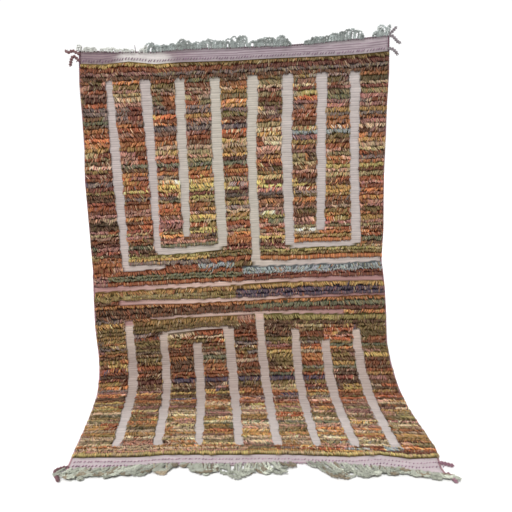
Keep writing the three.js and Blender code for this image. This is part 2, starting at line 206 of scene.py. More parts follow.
# How much of each yarn there is in the parts of the rug, from the top and from the left
MIXES = {
    "upper left": {"rust": 9, "wine": 3, "orange": 3, "brown": 6, "pink": 3, "mustard": 1.4,
                   "olive": 2, "mauve": 2.4, "slate": 0.8, "sage": 0.8, "beige": 0.8},
    "upper middle": {"rust": 6, "orange": 3.6, "mustard": 3, "pink": 3, "olive": 2.4, "brown": 3,
                     "mauve": 2, "wine": 1.4, "beige": 2.8, "sage": 1.8, "teal": 0.5, "slate": 1,
                     "lime": 0.8, "gold": 0.4},
    "upper right": {"rust": 5, "orange": 2.2, "mustard": 2.4, "pink": 2, "olive": 3.4, "brown": 6,
                    "mauve": 2, "wine": 1.8, "beige": 1.2, "sage": 1.4, "teal": 1.2, "slate": 1.4,
                    "lime": 0.6, "navy": 0.3},
    "lower": {"rust": 5, "brown": 8, "olive": 4, "orange": 3.4, "mustard": 3, "pink": 1.4,
              "mauve": 1.4, "wine": 1.6, "sage": 1.2, "teal": 0.8, "slate": 0.6, "navy": 0.8,
              "beige": 2, "gold": 0.8},
    "foot": {"orange": 2.6, "mustard": 4, "rust": 2, "beige": 5.5, "pink": 3, "olive": 2.4,
             "sage": 3.2, "teal": 0.5, "brown": 1, "mauve": 0.6, "lime": 0.8},
}
# Where the upper part is divided across, and where the lower part and the foot start
LEFT_PART = -0.43
RIGHT_PART = 0.42
LOWER_PART = 1.20
FOOT_PART = 1.86

# Rows of one colour, listed by the edge that they lie under: from what share of the gap to what share, from
# where to where across, the yarn and a second one mixed in
CHART = {
    "pile_start": (
        (0.0, 0.1, -0.75, -0.3, "gold", "mustard"), (0.0, 0.1, -0.3, 0.75, "olive", "mustard"),
        (0.1, 0.45, -0.75, 0.0, "rust", "wine"), (0.1, 0.45, 0.0, 0.75, "wine", "wine"),
        (0.45, 0.7, -0.75, -0.4, "mauve", "beige"), (0.45, 0.7, -0.4, 0.75, "slate", "sage"),
        (0.7, 1.0, -0.75, 0.75, "brown", "rust"),
    ),
    "inner_ends": (
        (0.55, 1.0, -0.42, -0.1, "teal", "olive"), (0.5, 1.0, 0.24, 0.6, "orange", "rust"),
        (0.2, 0.5, -0.42, -0.1, "pink", "rust"),
    ),
    "under_inner_bar": (
        (0.0, 0.3, -0.6, -0.1, "lime", "olive"), (0.3, 0.62, -0.6, -0.16, "gold", "orange"),
        (0.62, 1.0, -0.6, -0.1, "slate", "sage"), (0.0, 0.4, -0.16, 0.07, "olive", "teal"),
        (0.4, 1.0, -0.16, 0.07, "rust", "orange"), (0.0, 0.34, 0.07, 0.75, "lime", "sage"),
        (0.34, 0.5, 0.07, 0.75, "olive", "brown"), (0.5, 1.0, 0.07, 0.75, "orange", "rust"),
    ),
    "outer_bar": (
        (0.0, 1.0, -0.395, -0.23, "rust", "brown"), (0.0, 1.0, -0.23, -0.035, "sky", "sage"),
        (0.0, 1.0, -0.035, 0.06, "olive", "brown"),
    ),
    "under_outer_bar": (
        (0.0, 0.35, -0.75, -0.1, "rust", "orange"), (0.35, 0.66, -0.75, 0.0, "teal", "olive"),
        (0.66, 1.0, -0.75, 0.0, "rust", "orange"), (0.3, 0.9, -0.75, -0.7, "mauve", "slate"),
        (0.0, 0.4, 0.0, 0.75, "sky", "teal"), (0.4, 1.0, 0.0, 0.75, "wine", "rust"),
    ),
    "under_stripe_one": (
        (0.0, 0.34, -0.75, -0.1, "mustard", "rust"), (0.34, 1.0, -0.75, -0.04, "olive", "lime"),
        (0.5, 0.8, -0.62, -0.2, "sage", "lime"), (0.0, 0.46, -0.1, 0.75, "mustard", "gold"),
        (0.46, 1.0, -0.04, 0.75, "navy", "mauve"),
    ),
    "under_stripe_two": (
        (0.0, 0.42, -0.75, 0.75, "orange", "mustard"), (0.42, 1.0, -0.75, 0.0, "brown", "rust"),
        (0.42, 0.7, 0.0, 0.75, "teal", "sage"), (0.7, 1.0, 0.0, 0.75, "wine", "brown"),
        (0.5, 0.8, -0.14, -0.09, "pink", "pink"),
    ),
    "under_stripe_three": (
        (0.0, 0.4, 0.05, 0.75, "lime", "olive"), (0.4, 0.8, 0.05, 0.75, "brown", "olive"),
        (0.0, 0.3, -0.5, -0.05, "mustard", "olive"), (0.3, 1.0, -0.75, -0.05, "olive", "brown"),
    ),
    "line_feet": (
        (0.72, 1.0, -0.75, 0.75, "lime", "olive"), (0.72, 1.0, -0.75, -0.6, "lime", "gold"),
        (0.72, 1.0, -0.6, -0.48, "sage", "lime"), (0.72, 1.0, -0.06, 0.08, "lime", "olive"),
        (0.72, 1.0, 0.1, 0.26, "sage", "beige"), (0.3, 0.45, -0.75, -0.05, "beige", "mustard"),
        (0.45, 0.72, -0.75, -0.05, "pink", "mustard"), (0.45, 0.72, -0.05, 0.5, "mustard", "rust"),
        (0.2, 0.5, 0.38, 0.46, "sky", "sage"), (0.0, 0.4, 0.53, 0.6, "sky", "sage"),
        (0.2, 0.5, 0.1, 0.16, "slate", "sage"), (0.45, 0.72, 0.5, 0.75, "wine", "brown"),
    ),
}

# Single rows in the two long gaps: how far down the gap each lies, where it starts and ends across, its yarn
# and the second one
ROW_CHART = {
    "line_tops": (
        (0.02, -0.22, -0.11, "teal", "lime"), (0.07, -0.59, -0.45, "pink", "rust"),
        (0.15, 0.44, 0.56, "teal", "lime"), (0.18, 0.28, 0.56, "mauve", "slate"),
        (0.20, -0.45, 0.05, "slate", "mauve"), (0.21, 0.44, 0.75, "mustard", "olive"),
        (0.24, 0.44, 0.75, "slate", "olive"), (0.26, -0.75, -0.62, "teal", "olive"),
        (0.31, -0.45, 0.05, "slate", "navy"), (0.35, -0.62, 0.05, "rust", "orange"),
        (0.36, 0.27, 0.56, "sky", "teal"), (0.40, 0.26, 0.38, "mauve", "navy"),
        (0.41, -0.44, 0.05, "beige", "pink"), (0.46, 0.60, 0.75, "beige", "pink"),
        (0.53, -0.62, 0.05, "teal", "slate"), (0.57, -0.60, 0.05, "orange", "mustard"),
        (0.57, 0.44, 0.75, "lime", "gold"), (0.60, 0.27, 0.56, "pink", "beige"),
        (0.64, -0.75, -0.62, "slate", "navy"), (0.66, 0.60, 0.75, "rust", "orange"),
        (0.71, 0.44, 0.56, "mustard", "slate"), (0.75, -0.25, -0.12, "lime", "sage"),
        (0.81, 0.27, 0.56, "brown", "rust"), (0.86, -0.60, -0.45, "orange", "gold"),
    ),
    "lower_tops": (
        (0.03, 0.44, 0.75, "teal", "olive"), (0.07, 0.10, 0.24, "gold", "orange"),
        (0.07, 0.00, 0.06, "slate", "sky"), (0.10, 0.25, 0.40, "orange", "mustard"),
        (0.10, -0.24, -0.10, "teal", "olive"), (0.15, -0.57, -0.44, "rust", "orange"),
        (0.17, 0.25, 0.60, "teal", "slate"), (0.20, -0.40, 0.25, "rust", "orange"),
        (0.22, 0.62, 0.75, "mustard", "orange"), (0.25, -0.40, 0.42, "navy", "wine"),
        (0.30, -0.08, 0.42, "olive", "brown"), (0.31, -0.75, -0.62, "slate", "pink"),
        (0.33, -0.57, -0.44, "mauve", "slate"), (0.36, -0.06, 0.56, "orange", "gold"),
        (0.37, -0.40, -0.06, "gold", "mustard"), (0.42, -0.06, 0.42, "slate", "pink"),
        (0.45, -0.57, -0.08, "orange", "rust"), (0.47, -0.08, 0.50, "rust", "orange"),
        (0.48, -0.75, -0.60, "gold", "mustard"), (0.53, 0.42, 0.58, "sage", "teal"),
        (0.57, -0.75, -0.60, "lime", "olive"), (0.73, 0.09, 0.40, "teal", "navy"),
        (0.75, -0.25, -0.10, "teal", "sage"), (0.77, 0.09, 0.40, "pink", "beige"),
        (0.86, -0.75, 0.75, "mustard", "orange"), (0.96, 0.30, 0.60, "sage", "sky"),
    ),
}
# The width of a cell of the charts, how unevenly wide the rows are, and at how many places
# across a gap between two edges is measured
CHART_CELL = 0.01
ROW_UNEVEN = 0.3
MEASURED_AT = 7
# The widths of the rows under an edge, beside each other, where they aren't left to chance
ROW_WIDTHS = {"pile_start": (0.7, 1.1, 0.8, 1.0), "line_feet": (0.9, 0.9, 0.9, 1.25)}

# The surfaces: how rough and how sheeny each is, the scales of its noise in waves a metre, how
# dark and light that makes it, and how deep its bumps are; and how detailed noise is
SHEEN_ROUGHNESS = 0.5
SPECULAR = 0.06
PLAIN_DETAIL = 2.0
FINE_DETAIL = 3.0
# The wool's cream, mixed in where the painted light is high, makes a painted highlight
WOOL_LOOK = {
    "rough": 0.95, "sheen": 0.04, "fibres": 900.0, "fibre_shades": (0.86, 1.14), "heather": 160.0,
    "heather_shades": (0.78, 1.22), "highlight_from": (0.7, 1.3), "most_highlight": 0.22,
    "painted_highlight": (222, 200, 172), "depth": 0.0006,
}
# The weave's groove shades are painted shade in the grooves between its ribs
WEAVE_LOOK = {
    "rough": 0.95, "sheen": 0.08, "threads": (90.0, 420.0, 1.0), "thread_shades": (0.86, 1.14),
    "warps": 70.0, "warp_waver": 1.2, "warp_height": 0.6, "groove_painted_shades": (0.72, 1.04),
    "blotches": 24.0, "blotch_shades": (0.9, 1.1), "picks": (11.0, 55.0, 1.0),
    "pick_shades": (0.72, 1.22), "depth": 0.0009,
}
YARN_LOOK = {
    "rough": 0.9, "sheen": 0.2, "fibres": 1400.0, "fibre_shades": (0.78, 1.12), "patches": 30.0,
    "depth": 0.0005,
}
FLOOR_LOOK = {"rough": 0.9, "sheen": 0.0, "mottle": 3.0, "shades": (0.985, 1.0), "depth": 0.0001}

# The flat weave's colours, out of 255
CLOTHS = {
    "left line": (190, 178, 174),
    "middle line": (192, 184, 172),
    "right line": (190, 180, 176),
    "bend line": (204, 186, 174),
    "lower line": (176, 160, 152),
    "foot line": (206, 196, 192),
    "stripe": (218, 188, 175),
    "stripe end": (178, 138, 134),
    "top band": (174, 161, 165),
    "top left band": (150, 132, 134),
    "band thread": (112, 88, 104),
    "bottom band": (200, 186, 190),
    # The pale of a painted highlight on the top band's left part
    "band_highlight": (222, 216, 212),
}
# How the tint of the flat weave passes, across (0) or down (1) the rug, from the left line's to
# each of these in turn: from where on, and over what length
TINT_STEPS = (
    ("middle line", 0, -0.45, 0.25),
    ("right line", 0, 0.1, 0.2),
    ("bend line", 1, 0.9, 0.4),
    ("lower line", 1, 1.46, 0.12),
    ("foot line", 1, 1.75, 0.3),
)
# The stripes: how far down they lie, and where across they fade to the colour of their ends
STRIPED = (1.12, 1.37)
STRIPE_MIDDLE = -0.1
STRIPE_HALF = 0.2
STRIPE_FADE = 0.35
# The top band: where its left part passes into the rest, its darker threads, beside the start of the pile,
# and the part of it painted paler as a painted highlight, a glare of light
TOP_LEFT_END = -0.35
TOP_LEFT_FADE = 0.2
BAND_THREADS = (-0.025, -0.035, -0.046)
BAND_THREAD = 0.0024
THREAD_SHARE = 0.6
BAND_HIGHLIGHT_SPAN = (-0.57, -0.28)
HIGHLIGHT_FADE = 0.05
HIGHLIGHT_START = 0.03
MOST_HIGHLIGHTED = 0.85
# How far the tints of the two end bands reach in under the pile
TOP_BAND_UNDER = 0.004
FOOT_BAND_UNDER = 0.02

# The rows of slanted stitches in the end bands: the edge that they run beside, how far under
# it, their length, slant and colour; and how far they reach from the middle and at what steps
STITCH_ROWS = (
    {"under": "top_edge", "by": 0.003, "length": 0.010, "slant": 0.6, "tint": (118, 86, 102)},
    {"under": "pile_start", "by": -0.014, "length": 0.017, "slant": 1.3, "tint": (126, 92, 118)},
    {"under": "pile_end", "by": 0.036, "length": 0.013, "slant": 1.2, "tint": (176, 140, 160)},
    {"under": "pile_end", "by": 0.068, "length": 0.014, "slant": 1.2, "tint": (152, 112, 138)},
)
STITCHED = 0.742
STITCH_PITCH = 0.0135

# The fringes: the edge that each runs along, which way it reaches from there, up (-1) or down
# (1), and the colours of its yarn and its heading; how far its loops reach and how far they lean
# to the right for each part of that, at even steps across, how uneven the lean is and how far
# they curl; where it is loose, with holes at its roots; and its narrow and its wide loops: how
# many, how wide, how square and how short at the least, and how many of them are left where it
# is loose
FRINGES = {
    "fringe_top": {
        "edge": "top_edge", "away": -1, "yarn": (175, 183, 182), "heading": (120, 96, 108),
        "reach": (
            0.034, 0.024, 0.02, 0.02, 0.02, 0.02, 0.02, 0.02, 0.02, 0.044, 0.034, 0.022, 0.036, 0.042,
            0.028, 0.026, 0.046, 0.034, 0.03, 0.046, 0.06, 0.026, 0.032, 0.042, 0.038, 0.05, 0.012,
            0.0, 0.018, 0.036, 0.03, 0.04, 0.05, 0.05, 0.054, 0.0, 0.0, 0.05, 0.044),
        "lean": (0.1, 0.16), "lean_uneven": 0.16, "curl": 0.0025,
        "loose": ((-0.04, 0.0), (0.05, 0.12), (0.54, 0.61)),
        "loops": (
            {"count": 150, "span": 0.017, "shape": 0.5, "least": 0.55, "left": 0.35},
            {"count": 90, "span": 0.036, "shape": 0.4, "least": 0.6, "left": 0.9},
        ),
    },
    "fringe_foot": {
        "edge": "bottom_edge", "away": 1, "yarn": (194, 198, 184), "heading": (208, 180, 192),
        "reach": (
            0.062, 0.068, 0.082, 0.045, 0.065, 0.071, 0.05, 0.06, 0.084, 0.079, 0.05, 0.0, 0.04,
            0.092, 0.082, 0.0, 0.08, 0.115, 0.085, 0.065, 0.105, 0.08, 0.0, 0.0, 0.0, 0.1, 0.118, 0.08,
            0.1, 0.09, 0.075, 0.06, 0.05, 0.018, 0.045, 0.039, 0.041, 0.04, 0.041),
        "lean": (-0.4, -0.45, -0.45, -0.5, 0.0, 0.0, 0.0, 0.2, 0.55, 0.1, 0.1, 0.1, 0.1),
        "lean_uneven": 0.3, "curl": 0.011,
        "loose": ((-0.12, -0.06), (0.07, 0.14), (0.20, 0.47)),
        "loops": (
            {"count": 84, "span": 0.018, "shape": 0.6, "least": 0.4, "left": 0.2},
            {"count": 90, "span": 0.05, "shape": 0.3, "least": 0.68, "left": 1.0},
        ),
    },
}
# How far the fringes stop short of the cloth's sides, and the flecked loops of the lower one
FRINGE_INSET = 0.012
FLECK = (146, 132, 112)
FLECKED = 0.2
# The heading's height, and how far it lies from the edge
HEADING = 0.006
HEADING_GAP = -0.003
# The part of the top fringe, from the left, that is painted nearly white as a painted highlight, a glare of
# light, its colour and the share of its loops that is left there
HIGHLIGHT_TO = -0.40
HIGHLIGHT_WHITE = (246, 248, 242)
HIGHLIGHT_KEPT = 0.4
# Dark stray warp ends in the part with the painted highlight: where they stand, their reach and their lean,
# how far in and how high they start, and their colour
STRAYS = ((-0.716, 0.022, 0.1), (-0.462, 0.032, -0.1), (-0.405, 0.036, 0.45), (-0.245, 0.02, 0.0))
STRAY_START = 0.006
STRAY_TINT = (120, 104, 110)

# The loose ends of the side cords at the corners: their colours; how far from the cloth's side
# they start, how far they lead straight outward, and where their roots are under the cord; and
# the side and the place down of each, and where it goes from there, across, down and out
CORD_TINTS = {
    "top_left": (134, 100, 100),
    "top_right": (150, 144, 148),
    "foot_left": (126, 92, 96),
    "foot_right": (156, 116, 130),
}
CORD_GAP = 0.002
CORD_LEAD = 0.004
CORD_ROOT = 0.010
CORD_ROOT_OUT = -0.004
CORD_ENDS = (
    ("cord_end_top_left_a", -1, 0.0100,
     ((-0.012, -0.006, 0.003), (-0.026, -0.014, 0.006), (-0.04, -0.006, 0.008),
      (-0.05, -0.006, 0.008), (-0.06, -0.018, 0.006))),
    ("cord_end_top_left_b", -1, 0.0400,
     ((-0.01, -0.012, 0.003), (-0.022, -0.02, 0.005), (-0.032, -0.006, 0.006),
      (-0.038, 0.012, 0.005), (-0.043, 0.029, 0.003))),
    ("cord_end_top_right_a", 1, -0.0280,
     ((0.008, -0.002, 0.002), (0.018, -0.012, 0.004), (0.028, -0.022, 0.005), (0.034, -0.027, 0.006))),
    ("cord_end_top_right_b", 1, -0.0165,
     ((0.01, 0, 0.003), (0.02, 0.01, 0.005), (0.032, 0.024, 0.006),
      (0.04, 0.033, 0.006), (0.054, 0.038, 0.006))),
    ("cord_end_top_right_c", 1, 0.0420,
     ((0.01, 0.001, 0.002), (0.02, 0.008, 0.004), (0.031, 0.02, 0.005), (0.04, 0.033, 0.005))),
    ("cord_end_foot_left_a", -1, 2.4460,
     ((-0.014, 0.006, 0), (-0.026, 0.012, 0), (-0.036, 0.022, 0), (-0.036, 0.036, 0),
      (-0.028, 0.058, 0), (-0.018, 0.072, 0), (-0.01, 0.096, 0))),
    ("cord_end_foot_right_a", 1, 2.4050,
     ((0.012, 0.002, 0), (0.03, 0.01, 0), (0.047, 0.018, 0))),
    ("cord_end_foot_right_b", 1, 2.4860,
     ((0.008, 0.004, 0), (0.011, 0.016, 0), (0.013, 0.034, 0), (0.016, 0.056, 0))),
)

# How many sides a lock of wool or a stitch has, the share of a cell of the map that is left
# free at its edges, and half the share of it that the end of a tube takes up
LOCK_SIDES = 3
MAP_GAP = 0.06
LID_MAP = 0.4
# The yarns: how far from its corners a path is cut round, how thin a ply is at its end, and over
# how many times its own radius it thickens
CORNER_CUT = 0.25
END_THIN = 0.35
END_TAPER = 3


def seen(colour):
    """The light that a colour seen as red, green and blue out of 255 gives back, from 0 to 1."""
    knee, slope, offset, power = SCREEN_CURVE
    parts = np.asarray(colour, float) / 255
    return np.where(parts <= knee, parts / slope, ((parts + offset) / (1 + offset)) ** power)


def wool_colours():
    """The light that each yarn of the pile gives back, in their order."""
    return np.array([seen(colour) for colour in WOOLS.values()])


def blended(first, second, share):
    """One colour or row of colours mixed with another by shares, which are held from 0 to 1."""
    share = np.clip(share, 0, 1)[..., None]
    return first * (1 - share) + second * share


def metres(name, about, default):
    """A length that a user can change."""
    return FloatProperty(
        name=name, description=about, default=default, min=0.0, unit="LENGTH", precision=4)


def turned(name, about, default):
    """An angle that a user can change."""
    return FloatProperty(name=name, description=about, default=default, unit="ROTATION")


def tinted(name, about, colour):
    """A colour that a user can change."""
    return FloatVectorProperty(
        name=name, description=about, subtype="COLOR", size=3, min=0.0, max=1.0,
        default=tuple(seen(colour)))


def lit(name, about, default):
    """The strength of a light, which a user can change."""
    return FloatProperty(name=name, description=about, default=default, min=0.0)


class PileSettings(bpy.types.PropertyGroup):
    """The sizes of the knotted pile"""

    row_pitch: metres("Row pitch", "Distance from one row of knots to the next", 0.0205)
    lock_pitch: metres("Lock pitch", "Distance from one lock of wool to the next in a row", 0.0024)
    lock_reach: metres("Lock reach", "How far a lock hangs down over the rows below it", 0.028)
    lock_radius: metres("Lock radius", "Half the thickness of a lock where it is thickest", 0.0020)
    height: metres("Height", "How far the pile stands off the back of the rug", 0.0152)
    lean: FloatProperty(
        name="Lean", description="How far the locks slant to one side for each part down", default=0.45)
    clump: metres("Clump", "Width of the tufts that the locks gather in", 0.0084)
    seed: IntProperty(name="Seed", description="Which of the possible rugs this is", default=11)


class ClothSettings(bpy.types.PropertyGroup):
    """The sizes of the flat weave that carries the pile"""

    thickness: metres("Thickness", "Thickness of the flat weave", 0.005)
    rib: metres("Rib", "How far a weft stands up between its neighbours", 0.0012)
    band_pitch: metres("Band pitch", "Distance between the wefts of the end bands", 0.0045)
    overcast: metres("Overcast", "Distance between the turns of yarn round the sides", 0.0085)


class FringeSettings(bpy.types.PropertyGroup):
    """The sizes of the fringe and the cords"""

    ply_radius: metres("Ply radius", "Half the thickness of one ply of the fringe's yarn", 0.0031)
    twist: metres("Twist", "Length of yarn in which its plies turn once", 0.024)
    step: metres("Step", "Length of yarn between two rings of its mesh", 0.0055)
    cord_radius: metres("Cord ply radius", "Half the thickness of one ply of the side cords", 0.0046)
    cord: tinted("Cord", "Colour of the side cords", (150, 112, 124))


class StageSettings(bpy.types.PropertyGroup):
    """The floor, the lights and the camera"""

    lens: FloatProperty(
        name="Lens", description="Focal length on a 36 mm wide sensor", default=40.8, unit="CAMERA")
    place: FloatVectorProperty(
        name="Place", description="Where the camera stands", subtype="TRANSLATION", unit="LENGTH",
        default=(-0.0503, -2.4549, 1.246))
    pitch: turned("Pitch", "How far the camera looks down", 0.1823)
    yaw: turned("Yaw", "How far the camera looks to the right", 0.0424)
    roll: turned("Roll", "How far the camera leans", 0.0074)
    floor: tinted("Floor", "Colour of the floor", (252, 252, 252))
    room: lit("Room", "Strength of the light from the room", 0.28)
    backdrop: lit("Backdrop", "Strength of the light from behind", 1.05)
    sun: lit("Sun", "Strength of the soft sun", 3.0)
    softness: turned("Softness", "Width of the soft sun", 0.44)
    height: turned("Height", "How high the soft sun stands", 0.92)
    side: turned("Side", "How far left of the front the soft sun stands", 0.3)


def ease(share):
    return share * share * (3 - 2 * share)


def between(stations, share):
    """The value of evenly spaced stations at shares, from 0 to 1, along them."""
    return np.interp(share, np.linspace(0, 1, len(stations)), stations)


def across_share(across):
    return (across + HALF_WIDTH) / (2 * HALF_WIDTH)


def place_down(name, across):
    return between(ACROSS[name], across_share(across))


def edge_down(edge, across):
    """How far down an edge lies at each place across."""
    name, side = EDGES[edge]
    half = between(BAR_WIDTH[name], across_share(across)) / 2 if side else 0
    return place_down(name, across) + side * half


def pull(key, down):
    return between(PULL[key], down / LENGTH)


def along_line(stations, down):
    """The value of a line's stations at places down the rug, easing from one to the next."""
    steps = np.array(LINE_STEPS)
    first = np.clip(np.searchsorted(steps, down) - 1, 0, len(steps) - 2)
    share = np.clip((down - steps[first]) / (steps[first + 1] - steps[first]), 0, 1)
    values = np.array(stations)
    return values[first] + (values[first + 1] - values[first]) * ease(share)


def line_sides(line, down):
    """Where the left and right sides of a line are at places down the rug."""
    middle = along_line(line["at"], down)
    half = along_line(line["wide"], down) / 2
    start = WAVER_TURN * line["at"][0]
    longer, shorter = WAVER_LENGTHS
    left, right = (WAVER * (np.sin(down / longer + turn) + np.sin(down / shorter + 2 * turn))
                   for turn in (start, start + WAVER_TURN))
    return middle - half + left, middle + half + right


def side_across(side, down):
    """How far across the left (-1) or the right (1) side of the cloth lies at places down it."""
    return side * HALF_WIDTH + between(SIDE_STRAY[side], down / LENGTH)


def bend_tables():
    """The bend from hanging to lying: its heading, and its length fallen and run forward."""
    shares = (np.arange(BEND_STEPS) + 0.5) / BEND_STEPS
    heading = LEAN + (math.pi / 2 - LEAN) * ease(shares)
    fallen = np.concatenate(([0], np.cumsum(np.cos(heading)) / BEND_STEPS))
    forward = np.concatenate(([0], np.cumsum(np.sin(heading)) / BEND_STEPS))
    return fallen, forward


FALLEN, FORWARD = bend_tables()


def cloth_points(places):
    """The points of space at places on the cloth, each given as across, down and out."""
    across, down, out = np.asarray(places, float).T
    sides = (across / HALF_WIDTH) ** 2 - SAG_REST
    dropped = down + pull("skew", down) * (across / HALF_WIDTH) + pull("sag", down) * sides
    drifted = across + pull("drift", down)
    sideways = drifted * math.cos(ASKEW) + dropped * math.sin(ASKEW)
    along = -drifted * math.sin(ASKEW) + dropped * math.cos(ASKEW)
    bend = np.maximum(BEND_LENGTH + BEND_GROWTH * sideways, LEAST_BEND)
    hanging = (HANG_HEIGHT - bend * FALLEN[-1]) / math.cos(LEAN)
    share = np.clip((along - hanging) / bend, 0, 1)
    straight = np.minimum(along, hanging)
    lying = np.maximum(0, along - hanging - bend)
    y = -straight * math.sin(LEAN) - bend * between(FORWARD, share) - lying
    z = HANG_HEIGHT - straight * math.cos(LEAN) - bend * between(FALLEN, share)
    heading = LEAN + (math.pi / 2 - LEAN) * ease(share)
    wave = np.sin(sideways / RIPPLE_WIDTH + RIPPLE_START) * np.sin(np.maximum(along, 0) / RIPPLE_FALL)
    lift = out + RIPPLE * wave * (1 - ease(np.clip(along / hanging, 0, 1)))
    points = (sideways, y - lift * np.cos(heading), np.maximum(z, 0) + lift * np.sin(heading))
    return np.stack(points, axis=1) - PLACED_BY


def flat_woven(across, down, margin=0.0):
    """Whether places are in the flat weave, with its lines wider by a margin on each side."""
    flat = (across < side_across(-1, down) - OVERHANG) | (across > side_across(1, down) + OVERHANG)
    flat |= (down < place_down("pile_start", across)) | (down > place_down("pile_end", across))
    for name, start, end in BARS:
        half = between(BAR_WIDTH[name], across_share(across)) / 2
        reached = (across >= start) & (across <= end)
        flat |= reached & (np.abs(down - place_down(name, across)) <= half)
    for line in LINES:
        left, right = line_sides(line, down)
        beside = (across >= left - margin) & (across <= right + margin)
        for start, end in line["runs"]:
            flat |= beside & (down >= place_down(start, across)) & (down <= place_down(end, across))
    return flat


def in_band(gap):
    """Whether a gap between two edges is one of the end bands."""
    return gap in (0, len(EDGE_NAMES) - 2)


def make_wefts(row_pitch, band_pitch, seed):
    """The rows of the weave, from the top: the gap under an edge that each lies in, the share
    of that gap where it starts and ends, and how wide it is beside the usual row."""
    rng = np.random.default_rng(seed)
    middle = np.linspace(-HALF_WIDTH, HALF_WIDTH, MEASURED_AT)
    wefts = []
    for gap, (upper, lower) in enumerate(zip(EDGE_NAMES[:-1], EDGE_NAMES[1:])):
        height = float(np.mean(edge_down(lower, middle) - edge_down(upper, middle)))
        count = max(1, round(height / (band_pitch if in_band(gap) else row_pitch)))
        widths = np.ones(count) if in_band(gap) else rng.uniform(1 - ROW_UNEVEN, 1 + ROW_UNEVEN, count)
        widths = np.array(ROW_WIDTHS.get(upper, widths))
        ends = np.concatenate(([0], np.cumsum(widths) / widths.sum()))
        wide = np.diff(ends) * height / row_pitch
        wefts += list(zip([gap] * len(wide), ends[:-1], ends[1:], wide))
    return np.array(wefts)


def weft_down(gaps, shares, across):
    """How far down the wefts lie at places across: all three are arrays of one length."""
    downs = np.stack([edge_down(name, across) for name in EDGE_NAMES])
    places = np.arange(len(across))
    upper = downs[gaps.astype(int), places]
    lower = downs[gaps.astype(int) + 1, places]
    return upper + (lower - upper) * shares


def waves(rng, count, least, most):
    """A smooth random function of one number, from about -1 to 1, with wavelengths in a range."""
    lengths = rng.uniform(least, most, count)
    starts = rng.uniform(0, 2 * math.pi, count)

    def value(x):
        parts = (np.sin(2 * math.pi * x / length + start) for length, start in zip(lengths, starts))
        return sum(parts) / count ** 0.5

    return value


class Streaks:
    """Which yarn each tuft is knotted with: streaks one or a few rows thick."""

    # The chances that a streak goes on in the next row, that it is of its row's shared yarn, and
    # that it splits so many times; and how unevenly light the streaks are
    KEPT = 0.1
    SHARED = 0.68
    UNEVEN = 0.34
    SPLITS = (0, 1, 2, 3)
    SPLIT_CHANCES = (0.35, 0.35, 0.2, 0.1)

    def __init__(self, wefts, rng):
        self.cells = round(2 * HALF_WIDTH / CHART_CELL)
        self.main = np.zeros((len(wefts), self.cells), int)
        self.second = np.zeros_like(self.main)
        self.light = np.ones(self.main.shape)
        self.fill(wefts, rng)
        self.chart(wefts)

    def cell(self, across):
        return np.clip(((across + HALF_WIDTH) / CHART_CELL).astype(int), 0, self.cells - 1)

    def mix_at(self, across, down):
        if down > FOOT_PART:
            return "foot"
        if down > LOWER_PART:
            return "lower"
        if across < LEFT_PART:
            return "upper left"
        return "upper middle" if across < RIGHT_PART else "upper right"

    def pick(self, rng, across, down):
        mix = MIXES[self.mix_at(across, down)]
        weights = np.array([mix.get(name, 0) for name in WOOL_NAMES], float)
        return rng.choice(len(WOOL_NAMES), p=weights / weights.sum())

    def fill(self, wefts, rng):
        for row, (gap, share) in enumerate(wefts[:, :2]):
            down = float(weft_down(np.array([gap]), np.array([share]), np.zeros(1))[0])
            middles = [float(along_line(line["at"], down)) for line in LINES]
            bounds = self.cell(np.array([-HALF_WIDTH, *middles, HALF_WIDTH]))
            bounds[-1] = self.cells
            shared = self.pick(rng, 0, down)
            for start, end in zip(bounds[:-1], bounds[1:]):
                middle = (start + end) / 2 * CHART_CELL - HALF_WIDTH
                self.light[row, start:end] = math.exp(rng.normal(0, self.UNEVEN))
                if row and rng.random() < self.KEPT:
                    self.main[row, start:end] = self.main[row - 1, start:end]
                    self.second[row, start:end] = self.second[row - 1, start:end]
                    continue
                follows = rng.random() < self.SHARED
                self.main[row, start:end] = shared if follows else self.pick(rng, middle, down)
                self.second[row, start:end] = self.pick(rng, middle, down)
                for _ in range(rng.choice(self.SPLITS, p=self.SPLIT_CHANCES)):
                    split = rng.integers(start, end)
                    self.main[row, split:end] = self.pick(rng, middle, down)
                    self.light[row, split:end] = math.exp(rng.normal(0, self.UNEVEN))

    def chart(self, wefts):
        middles = (wefts[:, 1] + wefts[:, 2]) / 2
        for under, streaks in CHART.items():
            in_gap = wefts[:, 0] == EDGE_NAMES.index(under)
            for first, last, *streak in streaks:
                self.lay(np.flatnonzero(in_gap & (middles >= first) & (middles < last)), *streak)
        for under, streaks in ROW_CHART.items():
            in_gap = wefts[:, 0] == EDGE_NAMES.index(under)
            for share, *streak in streaks:
                self.lay(np.flatnonzero(in_gap & (wefts[:, 1] <= share))[-1:], *streak)

    def lay(self, rows, start, end, wool, second):
        """Lays a streak of one yarn, mixed with a second one, over rows of the weave."""
        first, last = self.cell(np.array((start, end)))
        self.main[rows, first:last + 1] = WOOL_NAMES.index(wool)
        self.second[rows, first:last + 1] = WOOL_NAMES.index(second)
        self.light[rows, first:last + 1] = 1.0


def outward(points, faces, bake):
    """The faces and their corners in the map, turned over where the faces would look inward."""
    a, b, c = points[faces[:, 0]], points[faces[:, 1]], points[faces[:, 2]]
    corners = bake.reshape(-1, 3, 2)
    if (a * np.cross(b, c)).sum() <= 0:
        faces, corners = faces[:, ::-1], corners[:, ::-1]
    return faces, corners.reshape(-1, 2)


def cells_of(count, wide_by_high=1.0):
    """Even cells of the unit square for so many pieces: each one's corner, and their size."""
    columns = max(1, math.ceil(math.sqrt(count / wide_by_high)))
    rows = max(1, math.ceil(count / columns))
    index = np.arange(count)
    corners = np.stack((index % columns / columns, index // columns / rows), axis=1)
    return corners, np.array((1 / columns, 1 / rows))


